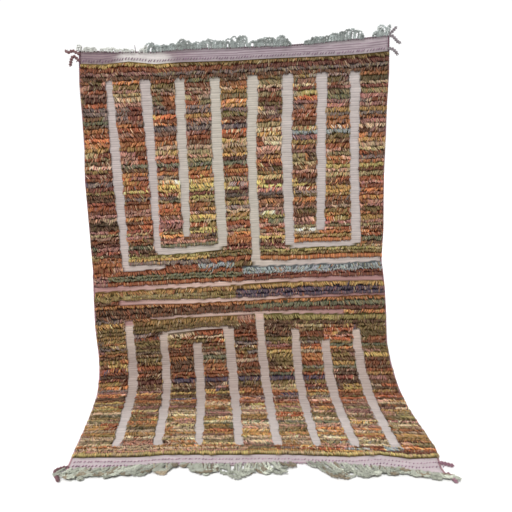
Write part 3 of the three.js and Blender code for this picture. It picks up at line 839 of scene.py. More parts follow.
def mesh_of(name, points, faces, bake, tints, numbers=None):
    """A smooth mesh of triangles with a laid-out map, a colour and numbers for each point."""
    faces, bake = outward(points, faces, bake)
    mesh = bpy.data.meshes.new(name)
    mesh.vertices.add(len(points))
    mesh.vertices.foreach_set("co", np.ascontiguousarray(points, np.float32).ravel())
    mesh.loops.add(faces.size)
    mesh.loops.foreach_set("vertex_index", np.ascontiguousarray(faces, np.int32).ravel())
    mesh.polygons.add(len(faces))
    mesh.polygons.foreach_set("loop_start", np.arange(0, faces.size, 3, dtype=np.int32))
    mesh.polygons.foreach_set("use_smooth", np.ones(len(faces), bool))
    mesh.update(calc_edges=True)
    layer = mesh.uv_layers.new(name="OFBake")
    layer.data.foreach_set("uv", np.ascontiguousarray(bake, np.float32).ravel())
    colours = mesh.color_attributes.new(name="tint", type="FLOAT_COLOR", domain="POINT")
    opaque = np.concatenate((tints, np.ones((len(tints), 1))), axis=1)
    colours.data.foreach_set("color", opaque.astype(np.float32).ravel())
    for key, values in (numbers or {}).items():
        attribute = mesh.attributes.new(name=key, type="FLOAT", domain="POINT")
        attribute.data.foreach_set("value", np.ascontiguousarray(values, np.float32))
    return mesh


def add_piece(mesh, material):
    """Puts a mesh in the scene as a piece of the rug."""
    piece = bpy.data.objects.new(mesh.name, mesh)
    mesh.materials.append(material)
    bpy.context.scene.collection.objects.link(piece)
    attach(piece, BODY)
    return piece


class Shader:
    """A node material for a piece, built up from its principled shader."""

    # The sockets that a mix node has for colours: its share and its two colours, and the result
    MIX_INPUTS = (0, 6, 7)
    MIX_OUTPUT = 2

    def __init__(self, name, values):
        self.material = bpy.data.materials.new(name)
        self.material.use_nodes = True
        self.tree = self.material.node_tree
        self.shader = self.tree.nodes["Principled BSDF"]
        self.shader.inputs["Roughness"].default_value = values["rough"]
        self.shader.inputs["Sheen Weight"].default_value = values["sheen"]
        self.shader.inputs["Sheen Roughness"].default_value = SHEEN_ROUGHNESS
        self.shader.inputs["Specular IOR Level"].default_value = SPECULAR

    def add(self, kind, **inputs):
        node = self.tree.nodes.new(kind)
        for key, value in inputs.items():
            self.put(node.inputs[key.replace("_", " ")], value)
        return node

    def put(self, socket, value):
        if isinstance(value, bpy.types.NodeSocket):
            self.tree.links.new(value, socket)
        else:
            socket.default_value = value

    def attribute(self, name, output="Fac"):
        node = self.tree.nodes.new("ShaderNodeAttribute")
        node.attribute_name = name
        return node.outputs[output]

    def math(self, operation, first, second=0.0):
        node = self.tree.nodes.new("ShaderNodeMath")
        node.operation = operation
        self.put(node.inputs[0], first)
        self.put(node.inputs[1], second)
        return node.outputs[0]

    def noise(self, scale, detail=FINE_DETAIL, vector=None):
        """Noise in the object's own coordinates, or in those of a vector."""
        if vector is None:
            vector = self.tree.nodes.new("ShaderNodeTexCoord").outputs["Object"]
        node = self.add("ShaderNodeTexNoise", Vector=vector, Scale=scale, Detail=detail)
        return node.outputs["Fac"]

    def ranged(self, value, shades):
        """A value from 0 to 1 spread from the first to the second of two shades."""
        low, high = shades
        return self.add("ShaderNodeMapRange", Value=value, To_Min=low, To_Max=high).outputs["Result"]

    def stretched(self, place, scales):
        """A place scaled by its own amount along each axis."""
        return self.add("ShaderNodeMapping", Vector=place, Scale=scales).outputs[0]

    def scaled(self, colour, amount):
        """A colour made lighter or darker by an amount."""
        node = self.tree.nodes.new("ShaderNodeVectorMath")
        node.operation = "SCALE"
        self.put(node.inputs[0], colour)
        self.put(node.inputs["Scale"], amount)
        return node.outputs[0]

    def mixed(self, share, first, second):
        node = self.tree.nodes.new("ShaderNodeMix")
        node.data_type = "RGBA"
        for key, value in zip(self.MIX_INPUTS, (share, first, second)):
            self.put(node.inputs[key], value)
        return node.outputs[self.MIX_OUTPUT]

    def finish(self, colour, height, depth):
        bump = self.add("ShaderNodeBump", Height=height, Distance=depth)
        self.put(self.shader.inputs["Base Color"], colour)
        self.put(self.shader.inputs["Normal"], bump.outputs["Normal"])
        return self.material


def wool_finish():
    """Soft uneven wool, with painted shade down among the knots and a painted highlight, paler and creamier,
    where its bends would catch the light.
    """
    values = WOOL_LOOK
    look = Shader("pile wool", values)
    # Painted light along each lock: low for painted shade, high for a painted highlight
    light = look.attribute("light")
    fibres = look.noise(values["fibres"], PLAIN_DETAIL)
    heather = look.ranged(look.noise(values["heather"], PLAIN_DETAIL), values["heather_shades"])
    # Where the painted light is high, the tint is mixed towards cream as a painted highlight
    start, end = values["highlight_from"]
    painted_highlight = look.add("ShaderNodeMapRange", Value=light, From_Min=start, From_Max=end, To_Min=0.0,
                    To_Max=values["most_highlight"]).outputs["Result"]
    tint = look.mixed(painted_highlight, look.attribute("tint", "Color"), (*seen(values["painted_highlight"]), 1.0))
    colour = look.scaled(look.scaled(tint, light), heather)
    shades = look.ranged(fibres, values["fibre_shades"])
    return look.finish(look.scaled(colour, shades), fibres, values["depth"])


def weave_finish():
    """Close wool wefts over the warps: fine ribs, with painted shade in the grooves, unevenly dyed."""
    values = WEAVE_LOOK
    look = Shader("flat weave", values)
    tint = look.attribute("tint", "Color")
    place = look.add("ShaderNodeCombineXYZ", X=look.attribute("across"), Y=look.attribute("down")).outputs[0]
    threads = look.noise(1.0, FINE_DETAIL, look.stretched(place, values["threads"]))
    warps = look.add("ShaderNodeTexWave", Vector=place, Scale=values["warps"],
                     Distortion=values["warp_waver"], Detail=PLAIN_DETAIL).outputs["Fac"]
    # Painted shade in the grooves, from how far each row of the mesh stands up
    painted_groove_shade = look.ranged(look.attribute("rise"), values["groove_painted_shades"])
    colour = look.scaled(look.scaled(tint, painted_groove_shade), look.ranged(threads, values["thread_shades"]))
    blotches = look.ranged(look.noise(values["blotches"]), values["blotch_shades"])
    picks = look.noise(1.0, PLAIN_DETAIL, look.stretched(place, values["picks"]))
    blotches = look.math("MULTIPLY", blotches, look.ranged(picks, values["pick_shades"]))
    height = look.math("ADD", threads, look.math("MULTIPLY", warps, values["warp_height"]))
    return look.finish(look.scaled(colour, blotches), height, values["depth"])


def yarn_finish(name, colour, shade, variety):
    """Spun yarn: fine fibres along its twist, lighter and darker from place to place."""
    values = YARN_LOOK
    look = Shader(name, values)
    fibres = look.noise(values["fibres"], PLAIN_DETAIL)
    patches = look.ranged(look.noise(values["patches"]), (0.0, variety))
    blend = look.mixed(patches, look.attribute("tint", "Color"), (*shade, 1.0))
    look.put(look.shader.inputs["Base Color"], (*colour, 1.0))
    blend = look.scaled(blend, look.ranged(fibres, values["fibre_shades"]))
    return look.finish(blend, fibres, values["depth"])


def lock_faces(rings):
    """The faces of a closed lock, and where their corners lie in its cell of the map: a strip
    for each of its sides, from its root to its tip."""
    sides = LOCK_SIDES
    tip = 1 + rings * sides
    faces, corners = [], []
    for side in range(sides):
        left = [0] + [1 + ring * sides + side for ring in range(rings)] + [tip]
        right = [0] + [1 + ring * sides + (side + 1) % sides for ring in range(rings)] + [tip]

        def corner(level, x):
            x = 0.5 if level in (0, rings + 1) else x
            return ((side + MAP_GAP + (1 - 2 * MAP_GAP) * x) / sides,
                    MAP_GAP + (1 - 2 * MAP_GAP) * level / (rings + 1))

        for level in range(rings + 1):
            if level:
                faces.append((left[level], right[level], left[level + 1]))
                corners.append((corner(level, 0), corner(level, 1), corner(level + 1, 0)))
            if level < rings:
                faces.append((right[level], right[level + 1], left[level + 1]))
                corners.append((corner(level, 1), corner(level + 1, 1), corner(level + 1, 0)))
    return np.array(faces), np.array(corners)


def round_way(way):
    """The directions beside and above ways on the cloth, square to them and of length 1."""
    way = way / np.linalg.norm(way, axis=1, keepdims=True)
    beside = np.cross(way, (0.0, 0.0, 1.0))
    beside /= np.linalg.norm(beside, axis=1, keepdims=True)
    return beside, np.cross(beside, way)


def locks(centres, radii):
    """Small closed locks of wool. Centres has the points down the middle of each, in across,
    down and out, from its root to its tip; radii has one for each ring between them."""
    count, rings = radii.shape
    sides = LOCK_SIDES
    points = np.empty((count, 2 + rings * sides, 3))
    points[:, 0] = centres[:, 0]
    points[:, -1] = centres[:, -1]
    for ring in range(rings):
        beside, above = round_way(centres[:, ring + 2] - centres[:, ring])
        for side in range(sides):
            angle = 2 * math.pi * side / sides + math.pi / 2
            offset = math.cos(angle) * beside + math.sin(angle) * above
            points[:, 1 + sides * ring + side] = centres[:, 1 + ring] + offset * radii[:, ring, None]
    one, corners = lock_faces(rings)
    faces = (one[None] + points.shape[1] * np.arange(count)[:, None, None]).reshape(-1, 3)
    places, size = cells_of(count)
    bake = (places[:, None, None] + corners[None] * size).reshape(-1, 2)
    return cloth_points(points.reshape(-1, 3)), faces, bake


def tube(path, centres, radii, sides):
    """A tube of rings on a path in across, down and out. The centres and radii say how far
    each ring's middle is from the path, beside and above it, and how thick the tube is."""
    beside, above = round_way(np.gradient(path, axis=0))
    middle = path + centres[:, :1] * beside + centres[:, 1:] * above
    angles = 2 * math.pi * np.arange(sides) / sides
    cosines, sines = np.cos(angles)[None, :, None], np.sin(angles)[None, :, None]
    ring = cosines * beside[:, None] + sines * above[:, None]
    return (middle[:, None] + ring * radii[..., None]).reshape(-1, 3)


def grid_of(rows, columns):
    """The row and the column of each cell of a grid."""
    return (part.ravel() for part in np.meshgrid(np.arange(rows), np.arange(columns), indexing="ij"))


def tube_faces(rings, sides):
    """The faces of a closed tube and where their corners lie in its cell of the map."""
    ring, side = grid_of(rings - 1, sides)
    after = (side + 1) % sides
    a, b = ring * sides + side, ring * sides + after
    c, d = a + sides, b + sides
    walls = np.stack((a, b, c, b, d, c), axis=1).reshape(-1, 3)
    x0, x1 = (ring + 1) / (rings + 1), (ring + 2) / (rings + 1)
    y0, y1 = side / sides, (side + 1) / sides
    places = np.stack((x0, y0, x0, y1, x1, y0, x0, y1, x1, y1, x1, y0), axis=1).reshape(-1, 3, 2)
    fan = np.arange(1, sides - 1)
    start = np.stack((np.zeros_like(fan), fan + 1, fan), axis=1)
    end = np.stack((np.zeros_like(fan), fan, fan + 1), axis=1) + (rings - 1) * sides
    angles = 2 * math.pi * np.arange(sides) / sides
    disc = 0.5 + LID_MAP * np.stack((np.cos(angles), np.sin(angles)), axis=1)
    lid = disc * (1 / (rings + 1), 1.0)
    faces = np.concatenate((walls, start, end))
    bake = np.concatenate((places, lid[start % sides], lid[end % sides] + (rings / (rings + 1), 0)))
    return faces, bake


class Joined:
    """Many tubes gathered into one mesh."""

    def __init__(self):
        self.points = []
        self.faces = []
        self.bakes = []
        self.tints = []
        self.count = 0

    def add(self, points, rings, sides, tints):
        faces, bake = tube_faces(rings, sides)
        self.faces.append(faces + self.count)
        self.points.append(points)
        self.bakes.append(bake)
        self.tints.append(np.broadcast_to(tints, (len(points), 3)))
        self.count += len(points)

    def mesh(self, name, wide_by_high):
        """One mesh of the tubes, with how wide their cells of the map are for their height."""
        corners, size = cells_of(len(self.bakes), wide_by_high)
        bake = np.concatenate([corner + cell * size for corner, cell in zip(corners, self.bakes)])
        points = cloth_points(np.concatenate(self.points))
        return mesh_of(name, points, np.concatenate(self.faces), bake, np.concatenate(self.tints))


def evenly(path, step):
    """A path's points at even steps, and how far along it each is."""
    path = np.asarray(path, float)
    lengths = np.concatenate(([0], np.cumsum(np.linalg.norm(np.diff(path, axis=0), axis=1))))
    count = max(3, round(lengths[-1] / step) + 1)
    along = np.linspace(0, lengths[-1], count)
    return np.stack([np.interp(along, lengths, part) for part in path.T], axis=1), along


def rounded(path, passes=3):
    """A path with its corners cut, keeping its two ends."""
    path = np.asarray(path, float)
    for _ in range(passes):
        first = path[:-1] * (1 - CORNER_CUT) + path[1:] * CORNER_CUT
        second = path[:-1] * CORNER_CUT + path[1:] * (1 - CORNER_CUT)
        inner = np.stack((first, second), axis=1).reshape(-1, 3)
        path = np.concatenate((path[:1], inner[1:-1], path[-1:]))
    return path


def twist_yarn(joined, path, radius, twist, step, tint, start=0.0, sides=LOCK_SIDES):
    """Adds a yarn of two plies that turn round each other along a path."""
    path, along = evenly(path, step)
    from_end = np.minimum(along, along[-1] - along)
    thin = np.clip(from_end / (END_TAPER * radius) + END_THIN, 0, 1)
    for ply in (0, math.pi):
        turn = 2 * math.pi * along / twist + ply + start
        centres = radius * np.stack((np.cos(turn), np.sin(turn)), axis=1)
        radii = np.broadcast_to((radius * thin)[:, None], (len(path), sides))
        joined.add(tube(path, centres, radii, sides), len(path), sides, tint)


class RUG_OT_stage(bpy.types.Operator):
    """Makes the floor, the lights and the camera"""

    bl_idname = "rug.stage"
    bl_label = "Stage"

    # The camera's sensor in millimetres, the floor's side and how far under the rug it lies, and
    # how far back the light from the room passes into the light from behind
    SENSOR = 36.0
    FLOOR_SIDE = 60.0
    FLOOR_DROP = 0.0015
    BACKDROP_FROM = (-0.1, 0.35)

    def execute(self, context):
        settings = context.scene.rug_stage
        self.camera(context, settings)
        self.floor(context, settings)
        self.lights(context, settings)
        context.scene.view_settings.view_transform = "Standard"
        return {"FINISHED"}

    def camera(self, context, settings):
        data = bpy.data.cameras.new("camera")
        data.lens = settings.lens
        data.sensor_width = self.SENSOR
        turn = Matrix.Identity(3)
        for angle, axis in ((-settings.yaw, "Z"), (math.pi / 2 - settings.pitch, "X"), (settings.roll, "Z")):
            turn = turn @ Matrix.Rotation(angle, 3, axis)
        camera = bpy.data.objects.new("camera", data)
        camera.matrix_world = Matrix.Translation(settings.place) @ turn.to_4x4()
        context.scene.collection.objects.link(camera)
        context.scene.camera = camera

    def floor(self, context, settings):
        half = self.FLOOR_SIDE / 2
        mesh = bpy.data.meshes.new("floor")
        ways = ((-1, -1), (1, -1), (1, 1), (-1, 1))
        corners = [(x * half, y * half, -self.FLOOR_DROP) for x, y in ways]
        mesh.from_pydata(corners, [], [(0, 1, 2, 3)])
        look = Shader("floor", FLOOR_LOOK)
        mottle = look.ranged(look.noise(FLOOR_LOOK["mottle"], PLAIN_DETAIL), FLOOR_LOOK["shades"])
        colour = look.scaled(tuple(settings.floor), mottle)
        mesh.materials.append(look.finish(colour, mottle, FLOOR_LOOK["depth"]))
        floor = bpy.data.objects.new("floor", mesh)
        context.scene.collection.objects.link(floor)

    def lights(self, context, settings):
        world = bpy.data.worlds.new("daylight")
        world.use_nodes = True
        tree = world.node_tree
        background = tree.nodes["Background"]
        background.inputs["Color"].default_value = (1.0, 1.0, 1.0, 1.0)
        way = tree.nodes.new("ShaderNodeSeparateXYZ")
        tree.links.new(tree.nodes.new("ShaderNodeTexCoord").outputs["Generated"], way.inputs[0])
        strength = tree.nodes.new("ShaderNodeMapRange")
        strength.interpolation_type = "SMOOTHSTEP"
        tree.links.new(way.outputs["Y"], strength.inputs["Value"])
        for key, value in zip(("From Min", "From Max", "To Min", "To Max"),
                              (*self.BACKDROP_FROM, settings.room, settings.backdrop)):
            strength.inputs[key].default_value = value
        tree.links.new(strength.outputs["Result"], background.inputs["Strength"])
        context.scene.world = world
        data = bpy.data.lights.new("soft sun", "SUN")
        data.energy = settings.sun
        data.angle = settings.softness
        light = bpy.data.objects.new("soft sun", data)
        light.rotation_euler = (math.pi / 2 - settings.height, 0.0, -settings.side)
        context.scene.collection.objects.link(light)


class RUG_OT_cloth(bpy.types.Operator):
    """Makes the flat-woven cloth that carries the pile, with the backs of its knots"""

    bl_idname = "rug.cloth"
    bl_label = "Cloth"

    # The rows of the mesh in one weft: the share of it where each lies, and how far it stands up, which also
    # sets the painted shade of the grooves; on the back nothing stands up and it sets only that painted
    # shade
    RIBS = ((0.0, 0.0), (0.26, 1.0), (0.52, 0.3), (0.76, 0.9))
    BAND_RIBS = ((0.0, 0.35), (0.5, 1.0))
    KNOTS = ((0.0, 1.0), (0.5, 0.6))
    # How many columns of the mesh lie between one line and the next, and on a line; half the width of the
    # step from one to the other, and how far under the pile it is; and how light the knots are: in front,
    # under the pile, darkened with painted shade, and on the back only a little darker
    BETWEEN_LINES = 6
    ON_LINE = 2
    WALL = 0.0012
    UNDER_PILE = 0.0045
    KNOT_SHADE_AND_TONE = (0.3, 0.85)
    # How often a place across and its place down are found from each other
    SETTLINGS = 3
    # Where the front, the back and the rim start in the map, and how wide they are there; the
    # rim's cells, and the corners of its triangles in them
    FRONT_MAP = (0.0, 0.48)
    BACK_MAP = (0.49, 0.48)
    RIM_MAP = (0.98, 0.02)
    RIM_TRIANGLE = ((0.1, 0.1), (0.9, 0.1), (0.5, 0.9))

    def execute(self, context):
        cloth = context.scene.rug_cloth
        pile = context.scene.rug_pile
        wefts = make_wefts(pile.row_pitch, cloth.band_pitch, pile.seed)
        streaks = Streaks(wefts, np.random.default_rng(pile.seed))
        columns = len(self.columns())
        front = self.side(wefts, columns, self.RIBS, self.BAND_RIBS, cloth.thickness, cloth.rib)
        back = self.side(wefts, columns, self.KNOTS, self.KNOTS[:1], 0.0, 0.0)
        points, faces, bake = self.join(front, back, columns)
        places = np.concatenate((front["places"], back["places"]))
        pale = np.broadcast_to(seen(CLOTHS["middle line"]), back["places"].shape)
        weaves = (self.front_tints(front["places"]), pale)
        tints = np.concatenate([self.knotted(side, weave, streaks, columns, light)
                                for side, weave, light in zip((front, back), weaves, self.KNOT_SHADE_AND_TONE)])
        rise = np.concatenate((front["rise"], back["rise"]))
        numbers = {"across": places[:, 0], "down": places[:, 1], "rise": rise}
        mesh = mesh_of("rug_cloth", points, faces, bake, tints, numbers)
        piece = add_piece(mesh, weave_finish())
        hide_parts("rug")
        return {"FINISHED"}

    def side(self, wefts, columns, row_steps, band_steps, out, rib):
        """The places of one side's mesh, row by row. Each step gives the share of a weft where
        a row lies and how far it stands up."""
        rows = []
        for weft, (gap, start, end, _) in enumerate(wefts):
            rows += [(weft + share, gap, start + (end - start) * share, rise)
                     for share, rise in (band_steps if in_band(gap) else row_steps)]
        rows.append((len(wefts), wefts[-1][0], 1.0, 0.0))
        order, gaps, shares, rises = (np.repeat(values, columns) for values in np.array(rows).T)
        column = np.tile(self.columns(), len(rows))
        down = np.zeros(len(column))
        for _ in range(self.SETTLINGS):
            across = self.across_at(down, column)
            down = weft_down(gaps, shares, across)
        places = np.stack((across, down, out + rib * (rises - 1) * (out > 0)), axis=1)
        return {"places": places, "rise": rises, "order": np.array(rows)[:, 0], "rows": len(rows)}

    def columns(self):
        """Where the mesh's columns lie, counted along the stops of across_at."""
        counts = [self.BETWEEN_LINES] + [1, self.ON_LINE, 1, self.BETWEEN_LINES] * len(LINES)
        steps = [stop + np.arange(count) / count for stop, count in enumerate(counts)]
        return np.concatenate(steps + [[len(counts)]])

    def across_at(self, down, column):
        """How far across the columns lie at places down the rug: the stops are its two sides
        and, in pairs, the sides of the lines."""
        stops = [side_across(-1, down)]
        for line in LINES:
            left, right = line_sides(line, down)
            for edge in (left - self.UNDER_PILE, right + self.UNDER_PILE):
                stops += [edge - self.WALL, edge + self.WALL]
        stops = np.stack(stops + [side_across(1, down)])
        first = np.minimum(column.astype(int), len(stops) - 2)
        places = np.arange(len(down))
        start, end = stops[first, places], stops[first + 1, places]
        return start + (end - start) * (column - first)

    def grid(self, rows, columns, first, left, wide):
        """The faces of a grid of points, and their corners in a part of the map."""
        row, column = grid_of(rows - 1, columns - 1)
        a = first + row * columns + column
        b, c, d = a + 1, a + columns, a + columns + 1
        x0, x1 = left + wide * column / (columns - 1), left + wide * (column + 1) / (columns - 1)
        y0, y1 = row / (rows - 1), (row + 1) / (rows - 1)
        faces = np.stack((a, c, b, b, c, d), axis=1).reshape(-1, 3)
        corners = np.stack((x0, y0, x0, y1, x1, y0, x1, y0, x0, y1, x1, y1), axis=1)
        return faces, corners.reshape(-1, 3, 2)

    def rim(self, front, back, columns):
        """The faces that close the edges between the front and the back."""
        behind = front["rows"] * columns
        faces = []
        for row, back_row, flip in ((0, 0, 1), (front["rows"] - 1, back["rows"] - 1, -1)):
            for column in range(columns - 1):
                a, b = row * columns + column, row * columns + column + 1
                c, d = behind + back_row * columns + column, behind + back_row * columns + column + 1
                faces += [(a, b, c)[::flip], (b, d, c)[::flip]]
        for column, flip in ((0, -1), (columns - 1, 1)):
            row = back_row = 0
            while row < front["rows"] - 1 or back_row < back["rows"] - 1:
                a, c = row * columns + column, behind + back_row * columns + column
                ahead = back_row == back["rows"] - 1 or (
                    row < front["rows"] - 1 and front["order"][row + 1] <= back["order"][back_row + 1])
                faces.append((a, a + columns, c)[::flip] if ahead else (a, c + columns, c)[::flip])
                row += ahead
                back_row += not ahead
        return np.array(faces)

    def join(self, front, back, columns):
        """One closed mesh of the two sides and the rim between them."""
        points = cloth_points(np.concatenate((front["places"], back["places"])))
        outside, outside_map = self.grid(front["rows"], columns, 0, *self.FRONT_MAP)
        inside, inside_map = self.grid(back["rows"], columns, len(front["places"]), *self.BACK_MAP)
        rims = self.rim(front, back, columns)
        start, wide = self.RIM_MAP
        corners, size = cells_of(len(rims), wide)
        triangles = corners[:, None] + np.array(self.RIM_TRIANGLE)[None] * size
        strip = triangles * (wide, 1.0) + (start, 0.0)
        faces = np.concatenate((outside, inside[:, ::-1], rims))
        return points, faces, np.concatenate((outside_map, inside_map[:, ::-1], strip)).reshape(-1, 2)

    def front_tints(self, places):
        """The yarns' own colours: pale lines, pinker low down, and the bands at the ends, with a painted
        highlight on the top band.
        """
        across, down = places[:, 0], places[:, 1]
        colour = {name: seen(value) for name, value in CLOTHS.items()}
        tints = colour["left line"]
        for name, axis, start, length in TINT_STEPS:
            tints = blended(tints, colour[name], (places[:, axis] - start) / length)
        in_stripes = (down > STRIPED[0]) & (down < STRIPED[1])
        faded = (np.abs(across - STRIPE_MIDDLE) - STRIPE_HALF) / STRIPE_FADE
        stripes = blended(colour["stripe"], colour["stripe end"], faded)
        tints = np.where(in_stripes[:, None], stripes, tints)
        in_top = down < edge_down("pile_start", across) + TOP_BAND_UNDER
        tints = np.where(in_top[:, None], self.top_tints(across, down, colour), tints)
        in_foot = down > edge_down("pile_end", across) - FOOT_BAND_UNDER
        return np.where(in_foot[:, None], colour["bottom band"], tints)

    def top_tints(self, across, down, colour):
        """The colours of the top band, with its darker threads and its painted highlight."""
        from_pile = down - edge_down("pile_start", across)
        share = (across - TOP_LEFT_END) / TOP_LEFT_FADE
        top = blended(colour["top left band"], colour["top band"], share)
        for thread in BAND_THREADS:
            near = np.abs(from_pile - thread) < BAND_THREAD
            top = np.where(near[:, None], blended(top, colour["band thread"], THREAD_SHARE), top)
        # A painted highlight, a glare of light, paling the left part of the band
        start, end = BAND_HIGHLIGHT_SPAN
        faded = np.minimum(across - start, end - across) / HIGHLIGHT_FADE
        faded = faded - np.clip(-HIGHLIGHT_START - from_pile, 0, 1) / HIGHLIGHT_START
        return blended(top, colour["band_highlight"], np.minimum(faded, MOST_HIGHLIGHTED))

    def knotted(self, side, weave, streaks, columns, light):
        """The colours of one side of the cloth: the weave's own, and the knots' where it has pile, darkened
        in front by painted shade under the locks.
        """
        across, down = side["places"][:, 0], side["places"][:, 1]
        row = np.repeat(np.minimum(side["order"].astype(int), len(streaks.main) - 1), columns)
        # In front the knots under the pile are painted dark as the shade among the locks; on the back they
        # are only a little darker
        knots = wool_colours()[streaks.main[row, streaks.cell(across)]] * light
        return np.where(flat_woven(across, down, self.UNDER_PILE + self.WALL / 2)[:, None], weave, knots)


class RUG_OT_pile(bpy.types.Operator):
    """Knots the pile: rows of soft locks that hang down over each other"""

    bl_idname = "rug.pile"
    bl_label = "Pile"

    PIECES = 4
    # Where the knots are: how far past the sides the rows are laid out, how far from its even
    # place a knot strays, for each lock pitch, how far down its row it lies, how unevenly, and
    # how high its root is
    BESIDE = 0.04
    STRAYS_ACROSS = 0.45
    ROOT_SHARE = 0.12
    ROOT_UNEVEN = 0.8
    ROOT_OUT = 0.003
    # The waves that the rows sway in, that the flat weave's sides are ragged in, that the pile
    # is lumpy in and that it leans in: how many there are, their least and greatest length, and
    # how far each row is ahead of the last
    SWAY = 0.0030
    SWAY_WAVES = (8, 0.02, 0.14)
    SWAY_AHEAD = 0.61
    RAGGED = (-0.0015, 0.0018)
    RAGGED_WAVES = (6, 0.012, 0.07)
    RAGGED_ACROSS = 3
    LUMP_WAVES = (8, 0.03, 0.16)
    LUMP_AHEAD = 0.237
    LEAN_WAVES = (5, 0.25, 1.1)
    LEAN_AHEAD = 0.137
    # How abruptly the pile's lean turns over, how uneven it is and how far it goes at the most
    LEAN_TURN = 3
    LEAN_UNEVEN = 0.22
    MOST_ASIDE = 0.8
    # How far a lock is drawn to the middle of its tuft, how far it may reach over a line, and
    # what is left of a slant that would take it further
    GATHERED = 0.3
    OVER_LINES = (-0.006, -0.001)
    HELD_BACK = (-0.4, 0.0)
    # The room below a knot: how far it is looked for, for each lock reach, in what steps, the
    # least that is knotted in, and how far past it locks reach, and those of the last row
    ROOM_SOUGHT = 1.5
    ROOM_STEP = 0.003
    LEAST_REACH = 0.009
    PAST_EDGE = 0.0055
    LAST_PAST_EDGE = 0.013
    # How much higher the last row is, how much softer its painted shade and how much brighter its painted
    # light
    LAST_HEIGHT = 1.25
    LAST_SHADE_SOFTER = 0.6
    LAST_PAINTED_LIGHT = 1.25
    # How uneven the locks are: how much of it lies in lumps and how much is left to chance, and
    # between what limits
    UNEVEN = {
        "reach": (0.14, 0.12, 0.6, 1.4),
        "past edge": (0.35, 0.4, -math.inf, math.inf),
        "height": (0.09, 0.06, 0.75, 1.22),
    }
    THICKNESS = (0.8, 1.2)
    # How brightly the pile is painted as lit, painted light and shade at even steps down the rug and across
    # it
    PAINTED_LIGHT_DOWN = (0.76, 0.83, 1.00, 1.04, 0.98, 0.83, 0.91, 0.92, 0.90, 0.92)
    PAINTED_LIGHT_ACROSS = (1.0, 1.0, 1.0, 1.0, 1.0, 1.03, 1.12, 0.98, 0.88)
    # Up to what chance a lock is of the streak's main yarn and of its second one, and past what
    # chance it is a stray beige one
    MAIN_YARN = 0.74
    SECOND_YARN = 0.9
    STRAY = 0.975
    # How unevenly light the tufts, the locks and their red, green and blue are; how many shades
    # the tufts have and how many of them lie between one row and the next
    TUFT_LIGHTNESS = 0.10
    TUFT_SHADES = 4099
    ROW_AHEAD = 7919
    LOCK_LIGHTNESS = (0.02, 0.14)
    DRIFT = 0.06
    BRIGHTEST = 0.95
    # How much lower a lock is at the side of its tuft than in the middle, and how much darker it is painted
    # there as painted shade between the tufts
    VALLEY_DEPTH = 0.22
    VALLEY_PAINTED_SHADE = 0.28
    # Down the middle of a lock: how far it has gone aside and down, of its reach, how far out, of the pile's
    # height, how thick it is and how brightly it is painted as lit: painted shade at its root and tip, where
    # the rows hang over each other, and a painted highlight on its bend
    SHAPE = (
        {"aside": 0.00, "fall": 0.00, "out": 0.00, "thick": 0.00, "light": 0.20},
        {"aside": 0.14, "fall": 0.20, "out": 0.92, "thick": 0.85, "light": 0.98},
        {"aside": 0.60, "fall": 0.62, "out": 1.00, "thick": 1.00, "light": 1.10},
        {"aside": 1.00, "fall": 1.00, "out": 0.52, "thick": 0.00, "light": 0.28},
    )

    def execute(self, context):
        cloth = context.scene.rug_cloth
        pile = context.scene.rug_pile
        wefts = make_wefts(pile.row_pitch, cloth.band_pitch, pile.seed)
        rng = np.random.default_rng(pile.seed)
        streaks = Streaks(wefts, rng)
        tufts = self.knots(wefts, pile, rng)
        finish = wool_finish()
        centres, radii = self.shapes(tufts, pile, rng)
        tints = self.tints(tufts, streaks, rng)
        corners = [1] + [LOCK_SIDES] * (len(self.SHAPE) - 2) + [1]
        # The painted light along each lock, with painted shade at the sides of its tuft, and softer painted
        # shade and a brighter painted highlight in the last row
        light = np.repeat([part["light"] for part in self.SHAPE], corners)
        lights = light[None] * (1 - self.VALLEY_PAINTED_SHADE * tufts["valley"])[:, None]
        last = (tufts["row"] == tufts["row"].max())[:, None]
        lights = np.where(last, self.LAST_PAINTED_LIGHT * lights ** self.LAST_SHADE_SOFTER, lights)
        step = math.ceil(len(centres) / self.PIECES)
        for piece in range(self.PIECES):
            part = slice(piece * step, (piece + 1) * step)
            points, faces, bake = locks(centres[part], radii[part])
            shades = np.repeat(tints[part], len(light), axis=0)
            numbers = {"light": lights[part].ravel()}
            mesh = mesh_of(f"pile_{piece + 1}", points, faces, bake, shades, numbers)
            add_piece(mesh, finish)
        return {"FINISHED"}

